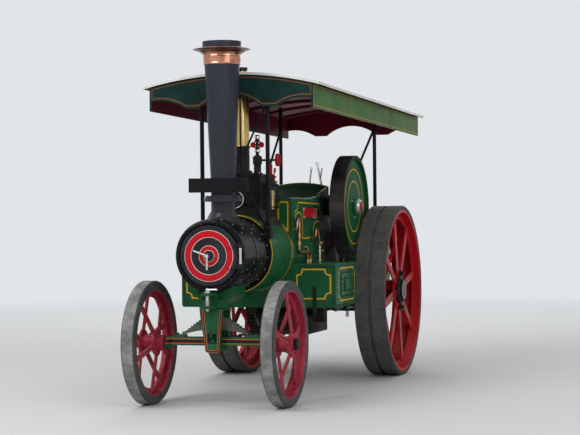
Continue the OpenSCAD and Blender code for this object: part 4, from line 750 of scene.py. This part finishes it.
for side in (-1, 1):
    case_screws += [aimed(screw, (side * 0.3, aft(y), screw_z), (side, 0, 0)) for y in range(1060, 1700, 62)]
    case_screws += [aimed(screw, (side * 0.02 * k, aft(1034), screw_z), fore) for k in range(1, 14, 3)]
piece("motion_case_screws", case_screws, paint, smooth=40)

bonnet_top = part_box("motion_bonnet")[1].z
arch_y, arch_half, arch_rise = aft(2312), 0.256, 0.034
arch_r = (arch_half ** 2 + arch_rise ** 2) / (2 * arch_rise)
swing = math.degrees(math.asin(arch_half / arch_r))
crown = arc((0, bonnet_top - arch_r), arch_r, 90 + swing, 90 - swing, 24)
beading = beads(0.0042, [(u, arch_y, w) for u, w in crown])
for side in (-1, 1):
    edge = [(side * 0.252, aft(y), z) for y, z in ((1716, 1.595), (1850, 1.596), (2312, 1.699))]
    beading += beads(0.004, edge)
piece("bonnet_beading", beading, brass, smooth=50)


# The copper pipes feed oil and drain water. They run in smooth bends from the motion
# case down to the belly tank, with brass unions, a round valve and a steel lever.
def sweep(path, radius, bend=30, sides=12, steps=6):
    """A pipe through points in millimetres, rounded at its corners."""
    points = [Vector(p) for p in path]
    line = [points[0]]
    for before, corner, after in zip(points, points[1:], points[2:]):
        back, on = before - corner, after - corner
        a = corner + back.normalized() * min(bend, back.length * 0.48)
        b = corner + on.normalized() * min(bend, on.length * 0.48)
        line += [a * (1 - t) ** 2 + corner * 2 * t * (1 - t) + b * t * t
                 for t in (k / steps for k in range(steps + 1))]
    line.append(points[-1])
    spots, normal = [], (line[1] - line[0]).normalized().orthogonal().normalized()
    for i, point in enumerate(line):
        way = (line[min(i + 1, len(line) - 1)] - line[max(i - 1, 0)]).normalized()
        normal = (normal - way * normal.dot(way)).normalized()
        other = way.cross(normal)
        for a in (2 * math.pi * k / sides for k in range(sides)):
            spot = point + (normal * math.cos(a) + other * math.sin(a)) * radius
            spots.append((spot.x / 1000, aft(spot.y), spot.z / 1000))
    caps = [list(reversed(range(sides))), [(len(line) - 1) * sides + k for k in range(sides)]]
    return skin(spots, round_faces(len(line), sides) + caps)


def spool(radius, length, at, towards):
    """A union on a pipe: a nut with a collar at each side, at a point in millimetres."""
    at, way = Vector((at[0] / 1000, aft(at[1]), at[2] / 1000)), Vector(towards)
    return [drum(radius / 1000, at - way * length / 2000, at + way * length / 2000, sides=6),
            drum(radius * 0.82 / 1000, at - way * length / 1100, at + way * length / 1100, sides=16)]


front_x, rear_x, low_x = 330, 350, 322
left = (1, 0, 0)
front_pipe = sweep([(300, 1075, 1330), (front_x, 1075, 1330), (front_x, 1088, 1413), (front_x, 1146, 1413),
                    (front_x, 1130, 1140), (front_x, 1460, 1135), (front_x, 1460, 1047)], 11, 36)
rear_pipe = sweep([(300, 1565, 1260), (rear_x, 1565, 1260), (rear_x, 1575, 1331), (rear_x, 1627, 1329),
                   (rear_x, 1680, 1200), (rear_x, 1680, 1047)], 11, 30)
lower_pipe = sweep([(300, 1380, 1180), (low_x, 1400, 1180), (low_x, 1416, 1047)], 8, 20)
pipe_copper = metal("aged_copper", (0.5, 0.22, 0.13), (0.15, 0.075, 0.05), 0.26, 30)
pipes = piece("copper_pipes", [front_pipe, rear_pipe, lower_pipe], pipe_copper, smooth=60)
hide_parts("pipework")
unions = []
for at, towards in (((305, 1075, 1330), left), ((front_x, 1137, 1275), up), ((front_x, 1134, 1215), up),
                    ((front_x, 1300, 1137), rear), ((front_x, 1460, 1062), up), ((305, 1565, 1260), left),
                    ((rear_x, 1680, 1170), up), ((rear_x, 1680, 1062), up), ((low_x, 1414, 1060), up)):
    unions += spool(17, 20, at, towards)
pipe_brass = metal("aged_brass", (0.42, 0.29, 0.12), (0.16, 0.11, 0.05), 0.28, 30)
piece("pipe_unions", unions, pipe_brass, smooth=40)
valve = [drum(0.021, (0.334, aft(1700), 1.207), (0.366, aft(1700), 1.207)),
         drum(0.013, (0.33, aft(1700), 1.207), (0.376, aft(1700), 1.207)),
         drum(0.007, (0.35, aft(1690), 1.144), (0.35, aft(1765), 1.140)),
         drum(0.010, (0.35, aft(1762), 1.141), (0.35, aft(1785), 1.140), 0.008),
         drum(0.0125, (0.35, aft(1680), 1.068), (0.35, aft(1680), 1.150))]
piece("bright_valve_and_rod", valve, steel, smooth=40)


# The belly tank is a riveted water tank slung under the boiler, in lined green. A black
# strap hangs at its front, and each side has a cover plate with a bolted manhole.
def row(head, finish, way, count, step, x, y, z):
    """A straight row of fasteners that face one way, from the first one's place on."""
    return repeated(aimed(head, (0, 0, 0), way), finish, count, step=step, centre=(x, aft(y), z))


dull_black = (0.014, 0.014, 0.015)
tank = Finish("tank_green")
strap_part = tank.y < aft(1044.2)
weather(tank, tank.mix(tank.patchy(green, deep_green, 4, 3), dull_black, strap_part), 0.2, 0.45)
tank.set(Coat_Weight=0.12, Coat_Roughness=0.08)
tank.uneven((90, 2), (5, 2), 4, 0.18)
dress(tank, "belly_tank")
front_panel, side_panel = notched((336, 765), (618, 1003)), notched((1146, 742), (1646, 1006), 30)
for name, sign in (("left", 1), ("right", -1)):
    lined("tank_front_" + name, front_panel if sign > 0 else mirrored(front_panel), end_face(1044.1))
    lined("tank_side_" + name, side_panel, flank(sign * 0.6636))
tank_head, cover_nut = rivet_head(0.0072, 0.005), nut(0.0075, 0.007)
tank_rivets, tank_top, tank_x = [], 1.0466, 0.6628
for sign in (-1, 1):
    out, along, rising = (sign, 0, 0), (0, 0.0285, 0), (0, 0, 0.027)
    for way, count, step, x, y, z in (
            (up, 12, (sign * 0.027, 0, 0), 0.33, 1062, tank_top), (up, 22, along, 0.638, 1088, tank_top),
            (fore, 13, (sign * 0.024, 0, 0), 0.352, 1045, 1.026), (fore, 11, rising, 0.645, 1045, 0.735),
            (out, 11, rising, tank_x, 1068, 0.735), (out, 22, along, tank_x, 1078, 1.028),
            (out, 22, along, tank_x, 1078, 0.712)):
        tank_rivets.append(row(tank_head, tank, way, count, step, sign * x, y, z))
    for y0, y1, z0, z1, x, count in ((1298, 1491, 0.825, 0.923, 0.6798, 6),
                                     (1212, 1578, 0.778, 0.970, 0.6718, 9)):
        spots = [(y0 + (y1 - y0) * k / (count - 1), z, k) for k in range(count) for z in (z0, z1)]
        spots += [(y, z0 + (z1 - z0) * k / 4, k) for k in range(1, 4) for y in (y0, y1)]
        tank_rivets += [aimed(cover_nut, (sign * x, aft(y), z), out, k) for y, z, k in spots]
tank_rivets += [aimed(nut(0.007, 0.007), (0.485, aft(1031.7), level), fore)
                for level in (0.665, 0.72, 0.79, 0.845)]
piece("tank_rivets", tank_rivets, tank, smooth=40)


# The forecarriage is a forged green beam under a leaf spring, held by a welded fork that
# turns on the king pin. The beam and the fork are edged in orange and black.
def least(first, *others):
    """The smallest of some values."""
    for other in others:
        first = first.math("MINIMUM", other)
    return first


orange, bright_green = (0.66, 0.12, 0.03), (0.02, 0.12, 0.048)
paint_perch = enamel("forecarriage_green", (0.016, 0.105, 0.04), deep_green, 0.26, 0.15, 0.4,
                     chip=(0.05, 0.05, 0.045))
dress(paint_perch, "perch_bracket")
dress(steel, "tow_pin")
fork_foot, fork_flare = 0.426, 0.0847
fork_paint = Finish("fork_paint")
fork_half = (fork_paint.z - fork_foot) * 1000 * fork_flare + 56
inset = least(fork_half - abs(fork_paint.x) * 1000, (fork_paint.z - 0.412) * 1000)
front = fork_paint.y < aft(-104.2)
window_x, window_low, window_high = 0.034, 0.482, 0.556
window = (abs(fork_paint.x) < window_x) * within(fork_paint.z, window_low, window_high)
dark = (within(inset, 6, 15) + window).clamped() * front
shade = fork_paint.patchy(bright_green, deep_green, 8, 3)
shade = fork_paint.laid(shade, (orange, within(inset, 3, 18.5) * front), (dull_black, dark))
weather(fork_paint, shade, 0.26, 0.2, 0.5)
fork_paint.set(Coat_Weight=0.12)
fork_paint.uneven((90, 2), (8, 2), 3, 0.18)
dress(fork_paint, "front_fork")

beam = Finish("axle_paint")
front = (beam.y < aft(-34.3)) * (abs(beam.x) > 0.06)
shade = beam.laid(beam.patchy(bright_green, deep_green, 8, 3), (orange, within(beam.z, 0.474, 0.511) * front),
                  (dull_black, within(beam.z, 0.479, 0.506) * front),
                  ((0.28, 0.014, 0.035), abs(beam.x) > 0.4005))
weather(beam, shade, 0.26, 0.4, 0.6)
beam.set(Coat_Weight=0.12)
beam.uneven((90, 2), (8, 2), 3, 0.18)
dress(beam, "front_axle")

leaf = Finish("spring_steel")
weather(leaf, leaf.patchy((0.06, 0.085, 0.062), (0.13, 0.13, 0.1), 14, 5), 0.5, 0.6, 0.7)
leaf.bump(leaf.grain(70, 4), 0.35)
dress(leaf, "leaf_spring")

fork_bolts, perch_bolts = [], []
for sign in (-1, 1):
    for radius, x, z in ((0.011, 0.262, 0.548), (0.010, 0.318, 0.542)):
        fork_bolts += [aimed(nut(radius, radius), (sign * x, aft(y), z), up) for y in (-15, 15)]
    fork_bolts += [aimed(nut(0.008, 0.008), (sign * 0.087, aft(y), 0.7417), up) for y in (-40, 0, 40)]
    perch_bolts += [aimed(nut(0.010, 0.010), (sign * 0.134, aft(y), 0.9177), (sign * 0.4, 0, 1))
                    for y in (-30, 60, 150, 230)]
    perch_bolts += [aimed(nut(0.009, 0.009), (sign * x, aft(-50), z), fore)
                    for x, z in ((0.118, 0.862), (0.088, 0.82))]
piece("fork_bolts", fork_bolts, paint_perch, "front_axle", 30)
frame_bars = [bar((x0, aft(-109), z0), (x1, aft(-104.5), z1), 0.001) for x0, z0, x1, z1 in
              ((-window_x, window_low, -0.028, window_high), (0.028, window_low, window_x, window_high),
               (-window_x, window_high - 0.006, window_x, window_high),
               (-window_x, window_low, window_x, window_low + 0.006), (-0.028, 0.512, 0.028, 0.519))]
piece("fork_window_frame", frame_bars, black, "front_axle", 30)
piece("perch_bolts", perch_bolts, paint_perch, smooth=30)


# The steering chains are forged oval links, dark with grease. They hang from the axle's
# ends and wind on a drum under the tank, which a worm turns from the steering wheel.
def oval_link(length, width, thickness, count=16, sides=6):
    """One chain link lying along Y, made of a round bar bent to an oval."""
    spots, reach, half = [], length / 2 - width / 2, width / 2 - thickness / 2
    for a in (2 * math.pi * i / count for i in range(count)):
        centre = Vector((half * math.cos(a), half * math.sin(a) + (reach if math.sin(a) > 0 else -reach), 0))
        out = Vector((math.cos(a), math.sin(a), 0)) * thickness / 2
        for b in (2 * math.pi * k / sides for k in range(sides)):
            spots.append(centre + out * math.cos(b) - Vector((0, 0, math.sin(b) * thickness / 2)))
    return skin(spots, round_faces(count, sides, True))


under = enamel("greasy_black", (0.015, 0.0145, 0.014), (0.03, 0.025, 0.02), 0.42, 0.35, 0.4,
               chip=(0.06, 0.05, 0.04))
dress(under, "steering_box", "drawbar", "firebox")
links, sag, pitch_length = 42, 0.212, 0.0375
loop = oval_link(0.062, 0.034, 0.0085)
for name, sign in (("left", 1), ("right", -1)):
    shackle, drum_spot = Vector((sign * 0.3, aft(84), 0.470)), Vector((sign * 0.12, aft(1599.7), 0.515))
    spots = [shackle.lerp(drum_spot, t) - Vector((0, 0, sag * t * (1 - t)))
             for t in (k / links for k in range(links + 1))]
    meshes = []
    for k, (a, b) in enumerate(zip(spots, spots[1:])):
        copy, along = loop.copy(), b - a
        way = along.to_track_quat("Y", "Z").to_matrix().to_4x4()
        stretch = Matrix.Diagonal((1, along.length / pitch_length, 1, 1))
        twist = Matrix.Rotation(math.radians(45 + 90 * (k % 2)), 4, "Y")
        copy.transform(Matrix.Translation((a + b) / 2) @ way @ stretch @ twist)
        meshes.append(copy)
    chain = piece("chain_" + name, meshes, under, None, 50)
    aft(70)
    aft(1600)
    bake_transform(chain)
    if sign > 0:
        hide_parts("steering_chains")
    fork_ring = drum(0.008, (sign * 0.3, aft(60), 0.500), (sign * 0.3, aft(60), 0.45))
    piece("chain_shackle_" + name, fork_ring, under, "front_axle", 40)


# The front wheels are cast iron with flat riveted spokes, in crimson gone pink with dust.
# Black eight-sided caps close the hubs. Their tyres are solid rubber, grey with wear.
def spoked(finish, y, z, count, first):
    """Distance from a wheel's centre, and the distance from the nearest spoke's own axis."""
    angle = finish.node("ShaderNodeMath", {"operation": "ARCTAN2"}, {0: finish.y - y, 1: finish.z - z})
    off = ((angle * (count / (2 * math.pi)) + (first + 0.5)).math("FRACT") - 0.5) * (2 * math.pi / count)
    reach = finish.round_x(y, z)
    return reach, abs(reach * off.math("SINE"))


def swung(mesh, at, side, centre, degrees):
    """A fastener on a wheel's face, turned about its axle and moved to the wheel's place."""
    stud = aimed(mesh, at, (side, 0, 0))
    stud.transform(Matrix.Translation(centre) @ Matrix.Rotation(math.radians(degrees), 4, "X"))
    return stud


front_spot = (aft(0), 0.476)
wheel_paint = Finish("front_wheel_paint")
reach, off = spoked(wheel_paint, *front_spot, 10, 0)
bars = within(reach, 0.115, 0.27) * (abs(wheel_paint.facing("X")) > 0.85)
cap = (abs(wheel_paint.x) > 0.6192) * (reach < 0.048)
shade = wheel_paint.patchy((0.30, 0.012, 0.036), (0.40, 0.04, 0.07), 5, 4, 0.35, 0.7)
dusty = wheel_paint.range(wheel_paint.grain(26, 5), 0.52, 0.8) * 0.35
shade = wheel_paint.laid(shade, (orange, within(off, 0.008, 0.0115) * bars),
                         ((0.035, 0.02, 0.02), (off < 0.008) * bars), ((0.013, 0.013, 0.014), cap),
                         ((0.42, 0.24, 0.22), dusty * (1 - cap)))
weather(wheel_paint, shade, 0.34, 0.3, 0.7)
wheel_paint.set(Coat_Weight=0.05)
wheel_paint.uneven((60, 4), (9, 2), 3, 0.25)
dress(wheel_paint, "front_wheel_left", "front_wheel_right")

rubber = Finish("front_rubber")
flank_on = abs(rubber.facing("X")) > 0.6
worn = rubber.range(rubber.grain(7, 5, rough=0.65), 0.38, 0.62)
scuffed = rubber.range(rubber.grain(40, 5, (0.4, 1, 1)), 0.4, 0.7)
tread = rubber.mix((0.15, 0.147, 0.14), (0.30, 0.295, 0.285), worn)
tread = rubber.mix(tread, (0.09, 0.088, 0.085), scuffed * 0.5)
wall = rubber.mix((0.035, 0.035, 0.036), (0.11, 0.108, 0.104), worn * scuffed)
rubber.set(Base_Color=rubber.mix(tread, wall, flank_on), Roughness=0.82)
rubber.uneven((45, 5), (9, 3), 2, 0.4, 0.002)
dress(rubber, "front_tyre_left", "front_tyre_right")

hub_nut, rim_rivet = nut(0.0095, 0.009), rivet_head(0.0105, 0.008)
for name, sign in (("left", 1), ("right", -1)):
    bolts = []
    for k in range(10):
        outer = sign if k % 2 == 0 else -sign
        centre, degrees = (sign * 0.5435, *front_spot), 36 * k
        bolts.append(swung(hub_nut, (outer * 0.0635, 0, 0.092), outer, centre, degrees))
        bolts += [swung(rim_rivet, (outer * 0.0125, shift, r), outer, centre, degrees)
                  for r in (0.345, 0.372) for shift in (-0.014, 0.014)]
    piece("front_wheel_rivets_" + name, bolts, wheel_paint, "front_wheel_" + name, 40)
    cap_bolts = ringed(nut(0.0055, 0.005), (sign * 0.6434, *front_spot), 0.03, (sign, 0, 0), range(0, 360, 45))
    cap_bolts.append(drum(0.014, (sign * 0.6430, *front_spot), (sign * 0.6465, *front_spot)))
    piece("front_cap_bolts_" + name, cap_bolts, black, "front_wheel_" + name, 40)


# The rear wheels drive. Their red spokes are flat bars riveted to the rim's webs, lined
# in black and orange. Black caps with driving pins close the hubs, and the tyres are
# rubber strakes with a groove between them.
rear_spot, tyre_x = (aft(2720), 0.76), 0.71
wheel_red = Finish("rear_wheel_paint")
reach, off = spoked(wheel_red, *rear_spot, 16, 0.5)
taper = wheel_red.range(reach, 0.2, 0.56, 0.019, 0.003)
bars = within(reach, 0.19, 0.5) * (abs(wheel_red.facing("X")) > 0.85)
shade = wheel_red.patchy((0.5, 0.010, 0.022), (0.36, 0.012, 0.02), 4, 4)
greasy = wheel_red.range(reach, 0.18, 0.1) * wheel_red.range(wheel_red.grain(20, 4), 0.4, 0.6)
shade = wheel_red.laid(shade, ((0.66, 0.2, 0.03), (off < taper) * bars),
                       ((0.03, 0.014, 0.014), (off < taper - 0.0035) * bars), ((0.05, 0.016, 0.016), greasy))
weather(wheel_red, shade, 0.26, 0.4, 0.8)
wheel_red.set(Coat_Weight=0.05)
wheel_red.uneven((60, 3), (7, 2), 3, 0.22)
dress(wheel_red, "rear_wheel_left", "rear_wheel_right")

strake = Finish("rear_rubber")
flank_on = abs(strake.facing("X")) > 0.6
worn = strake.range(strake.grain(6, 5, (0.5, 1, 1), 0.65), 0.4, 0.65)
dirt = strake.range(strake.grain(38, 5), 0.42, 0.7) * 0.35
near_groove = strake.range(abs(abs(strake.x) - tyre_x), 0.03, 0.012) * 0.3
tread = strake.mix((0.045, 0.044, 0.043), (0.085, 0.082, 0.078), worn)
tread = strake.mix(tread, (0.15, 0.14, 0.125), (dirt + near_groove).clamped())
wall = strake.mix((0.02, 0.02, 0.021), (0.06, 0.057, 0.054), worn)
strake.set(Base_Color=strake.mix(tread, wall, flank_on), Roughness=0.8)
strake.uneven((40, 5), (8, 3), 2, 0.4, 0.002)
dress(strake, "rear_tyre_left", "rear_tyre_right")

boss = Finish("hub_cap_paint")
chrome = within(boss.round_x(*rear_spot), 0.063, 0.069) * (abs(boss.x) > 0.8485)
shade = boss.patchy((0.013, 0.013, 0.014), (0.034, 0.032, 0.03), 12, 4, 0.4)
weather(boss, boss.mix(shade, (0.4, 0.4, 0.41), chrome), 0.22, 0.3, 0.5)
boss.set(Metallic=chrome, Coat_Weight=0.12)
boss.uneven((80, 2), (9, 2), 3, 0.18)
dress(boss, "rear_hub_left", "rear_hub_right")

spoke_rivet, web_rivet = rivet_head(0.0095, 0.0065), rivet_head(0.0085, 0.006)
for name, sign in (("left", 1), ("right", -1)):
    centre = Vector((sign * tyre_x, *rear_spot))
    bolts = []
    for k in range(16):
        outer = sign if k % 2 == 0 else -sign
        bolts += [swung(spoke_rivet, (outer * u, shift, r), outer, centre, 22.5 * (k + 0.5))
                  for r, u in ((0.142, 0.0958), (0.158, 0.0958), (0.618, 0.0888), (0.642, 0.0888))
                  for shift in (-0.016, 0.016)]
    bolts += [swung(web_rivet, (outer * 0.0768, 0, 0.684), outer, centre, 11.25 * k)
              for k in range(32) for outer in (-1, 1)]
    piece("rear_wheel_rivets_" + name, bolts, wheel_red, "rear_wheel_" + name, 40)
    cap_nuts = ringed(nut(0.011, 0.012), centre + Vector((sign * 0.1215, 0, 0)), 0.101, (sign, 0, 0),
                      [22.5 + 45 * k for k in range(8)])
    for radius, x0, x1, radius_end, sides, rises in (
            (0.081, 0.125, 0.1318, 0.077, 48, (0,)), (0.017, 0.1195, 0.1335, 0.016, 24, (-0.15, 0.15)),
            (0.009, 0.128, 0.1396, 0.0085, 12, (-0.15, 0.15))):
        cap_nuts += [drum(radius, centre + Vector((sign * x0, 0, rise)), centre + Vector((sign * x1, 0, rise)),
                          radius_end, sides) for rise in rises]
    piece("rear_cap_nuts_" + name, cap_nuts, black, "rear_wheel_" + name, 40)


# The crankshaft, gears and rear axle are machined steel in a film of dark oil. The end of
# the crankshaft has a red cap.
shaft = Finish("oily_steel")
film = shaft.range(shaft.grain(18, 5), 0.38, 0.66)
capped = shaft.x > 0.6005
oiled = shaft.mix((0.2, 0.19, 0.175), (0.05, 0.045, 0.04), film)
shaft.set(Metallic=shaft.range(capped, 0, 1, 0.85, 0), Base_Color=shaft.mix(oiled, (0.5, 0.012, 0.016), capped),
          Roughness=shaft.range(film, 0, 1, 0.28, 0.5))
shaft.bump(shaft.grain(70, 3), 0.15)
dress(shaft, "crankshaft", "rear_axle")
cogs = enamel("greasy_iron", (0.03, 0.029, 0.027), (0.07, 0.055, 0.04), 0.4, 0.5, 0.7, chip=(0.2, 0.19, 0.18))
dress(cogs, "gear_train")


# The flywheel is cast iron, painted green on its disc with yellow and red circles. Its
# broad rim is left bare and dark for a drive belt.
crank_spot, belt_r = (aft(2150), 1.515), 0.4443
fly = Finish("flywheel_paint")
reach = fly.round_x(*crank_spot)
rim = reach > belt_r
edge_face = within(reach, 0.4145, belt_r) * (abs(fly.facing("X")) > 0.6)
bare = fly.patchy((0.09, 0.088, 0.085), (0.04, 0.038, 0.036), 10, 4, stretch=(0.25, 1, 1))
shade = fly.laid(fly.patchy(green, deep_green, 5, 3),
                 (yellow, within(reach, 0.3205, 0.3295) + within(reach, 0.2145, 0.2235)),
                 ((0.16, 0.015, 0.018), within(reach, 0.308, 0.3125) + within(reach, 0.2295, 0.234)),
                 ((0.012, 0.013, 0.013), edge_face), (bare, rim))
weather(fly, shade, 0.42, 0.3)
fly.set(Metallic=rim, Coat_Weight=0.02)
fly.uneven((80, 2), (6, 2), 3, 0.16)
dress(fly, "flywheel")
hub_paint = Finish("flywheel_hub_paint")
turned = hub_paint.x > 0.5625
shade = hub_paint.patchy((0.02, 0.13, 0.06), (0.01, 0.07, 0.03), 9, 3)
weather(hub_paint, hub_paint.mix(shade, (0.38, 0.44, 0.4), turned * 0.8), 0.25, 0.3)
hub_paint.set(Metallic=turned * 0.7, Coat_Weight=0.25)
dress(hub_paint, "flywheel_hub")
key = ringed(nut(0.011, 0.012), (0.5368, *crank_spot), 0.094, (1, 0, 0), (60, 180, 300))
key.append(bar((0.572, aft(2143), 1.551), (0.603, aft(2157), 1.566), 0.0015))
piece("flywheel_key", key, steel, "crankshaft", 40)


# The tender holds coal and water behind the driver. It is green sheet, lined and riveted,
# and the coal bunker's inside is black.
bend_y, bend_x, bend_r = 3700, 0.324, 0.156
bunker = Finish("tender_green")
corner = slant((abs(bunker.x) - bend_x).math("MAXIMUM", 0), (bunker.y - aft(bend_y)).math("MAXIMUM", 0))
inside = (bunker.y > aft(3205)) * (corner < bend_r) * (bunker.z > 0.661)
shade = bunker.mix(bunker.patchy(green, deep_green, 4, 3), (0.02, 0.019, 0.018), inside)
weather(bunker, shade, 0.22, 0.4, 0.6)
bunker.set(Coat_Weight=0.12)
bunker.uneven((90, 2), (5, 2), 4, 0.18)
dress(bunker, "tender")
tender_heads = []
for name, sign in (("left", 1), ("right", -1)):
    lined("tender_side_" + name, notched((3232, 650), (3676, 1215)), flank(sign * 0.4846))
    for count, step, y, z in ((12, (0, 0.04, 0), 3215, 1.26), (12, (0, 0.04, 0), 3215, 0.605),
                              (16, (0, 0, 0.04), 3206, 0.63)):
        tender_heads.append(row(tank_head, bunker, (sign, 0, 0), count, step, sign * 0.4838, y, z))
lined("tender_rear", notched((-312, 650), (312, 1215)), end_face(3860.7, 1))
for level in (1.26, 0.605):
    tender_heads.append(row(tank_head, bunker, rear, 17, (0.04, 0, 0), -0.32, 3859.8, level))
bead_z = 1.281
beading = beads(0.007, [(x, aft(3856), bead_z) for x in (-bend_x, bend_x)], 10)
edge = [(3202, 480), *arc((bend_y, bend_x * 1000), bend_r * 1000, 90, 0, 10)]
for sign in (-1, 1):
    beading += beads(0.007, [(sign * w / 1000, aft(u), bead_z) for u, w in edge], 10)
piece("tender_rivets", tender_heads, bunker, smooth=40)
piece("tender_beading", beading, bunker, smooth=50)
pin_y = aft(3930)
pins = [drum(0.019, (0, pin_y, 0.44), (0, pin_y, 0.668)), drum(0.03, (0, pin_y, 0.6205), (0, pin_y, 0.6305)),
        drum(0.005, (-0.045, pin_y, 0.66), (0.045, pin_y, 0.66), sides=10)]
piece("drawbar_pin", pins, steel, smooth=40)


# The canopy has a white canvas-covered roof with fall to the rear, boards in two greens
# with fine lining and a painted shadow under the roof's edge, and a maroon underside with bent hoops. Black
# tubes carry it.
def eaves(mm):
    """The height of the boards' eaves so many millimetres behind the front axle."""
    return eaves_z - (mm - eaves_y) / 1000 * fall


maroon, pale_green = (0.135, 0.010, 0.024), (0.055, 0.145, 0.022)
eaves_y, eaves_z, fall = 365, 2.455, math.tan(math.radians(1))
roof_r, roof_drop = 2.8139, 2.7189
roof = Finish("canopy_canvas")
soiled = roof.range(roof.grain(2.2, 5, (1, 0.5, 1)), 0.4, 0.72)
shade = roof.mix((0.8, 0.8, 0.79), (0.55, 0.54, 0.51), soiled)
shade = roof.mix(shade, roof.mix(maroon, (0.085, 0.008, 0.016), soiled), roof.facing("Z") < -0.2)
roof.set(Base_Color=shade, Roughness=roof.range(soiled, 0, 1, 0.5, 0.7))
roof.bump(roof.grain(240, 2) * 0.5 + roof.grain(5, 3) * 4, 0.25)
dress(roof, "canopy_roof")

boards = Finish("canopy_board_paint")
rise = boards.z - eaves_z + (boards.y - aft(eaves_y)) * fall
side_x, front_n, out_x = abs(boards.x), boards.facing("Y"), boards.facing("X")
# The end boards' lower edge is three hollow arcs. Each value is a distance in from one edge,
# so the least of them tells where the lining runs.
middle = slant(side_x, rise + 0.4527) - 0.3897
bay = slant(side_x - 0.590, rise + 0.4811) - 0.3881
crest = roof_r - slant(side_x, rise + roof_drop)
ends = least(middle, bay, rise + 0.158, crest, 0.675 - side_x)
along = least(rise + 0.175, 0.0129 - rise, boards.y - aft(381), aft(4166) - boards.y)
on_end = abs(front_n) > 0.7
outer_end = on_end * ((front_n * (boards.y - aft(2280))) > 0)
outer_side = (abs(out_x) > 0.7) * ((out_x * boards.x) > 0) * (side_x > 0.66)
depth = along + (ends - along) * on_end
worn = boards.range(boards.grain(4, 4), 0.38, 0.66)
dark_end = boards.mix((0.012, 0.042, 0.034), (0.007, 0.024, 0.022), worn)
broad_line = boards.mix((0.5, 0.30, 0.05), (0.25, 0.13, 0.05), outer_end)
panel = boards.laid(boards.mix(pale_green, (0.035, 0.105, 0.018), worn), (dark_end, outer_end),
                    (broad_line, within(depth, 0.016, 0.0205)),
                    ((0.2, 0.03, 0.02), within(depth, 0.0245, 0.0270)),
                    # A dark band along the top of the side boards is a painted shadow of the roof's overhang.
                    ((0.03, 0.032, 0.03), outer_side * (rise > 0.001)))
shade = boards.mix(boards.mix(maroon, (0.09, 0.008, 0.016), worn), panel, (outer_end + outer_side).clamped())
weather(boards, shade, 0.34, 0.2, 0)
boards.set(Coat_Weight=0.04)
boards.uneven((60, 3), (5, 2), 3, 0.16)
dress(boards, "canopy_boards")
hoop_paint = enamel("canopy_maroon", maroon, (0.08, 0.008, 0.016), 0.4, 0.1, 0)
hoops = []
for station in range(1180, 3881, 540):
    crown_z = eaves(station) - roof_drop - 0.013
    hoops += beads(0.014, [(x, aft(station), crown_z + math.sqrt(roof_r ** 2 - x ** 2))
                           for x in (0.012 * k for k in range(-52, 53, 8))], 6)
piece("canopy_hoops", hoops, hoop_paint, smooth=40)
roll = []
for sign in (-1, 1):
    roll += beads(0.009, [(sign * 0.7155, aft(y), eaves(y) + 0.008) for y in (372, 4190)], 10)
piece("canopy_edge_roll", roll, roof, smooth=50)
dress(black, "front_posts", "rear_posts", "steering_wheel")
post_bolts, post_x, post_y = [], 0.272, aft(480)
for sign in (-1, 1):
    post_bolts += [aimed(nut(0.0095, 0.009), (sign * (post_x + dx), aft(446), z), fore)
                   for dx in (-0.014, 0.014) for z in (1.30, 1.352)]
    post_bolts += [drum(radius, (sign * post_x, post_y, z0), (sign * post_x, post_y, z1))
                   for radius, z0, z1 in ((0.024, 1.379, 1.395), (0.022, 2.295, 2.345))]
piece("post_bolts", post_bolts, black, smooth=30)


# The driver's controls are bright steel levers on a shelf behind the bonnet, and a
# steering wheel on a long inclined shaft at the engine's left.
dress(steel, "control_levers")
dress(shaft, "steering_shaft")
lever_y = aft(2449)
grips = [drum(0.013, (0.0655, lever_y, 1.855), (0.0672, lever_y, 1.873), 0.011),
         drum(0.014, (0.1228, lever_y, 1.898), (0.1206, lever_y, 1.916), 0.012)]
piece("lever_grips", grips, steel, smooth=40)
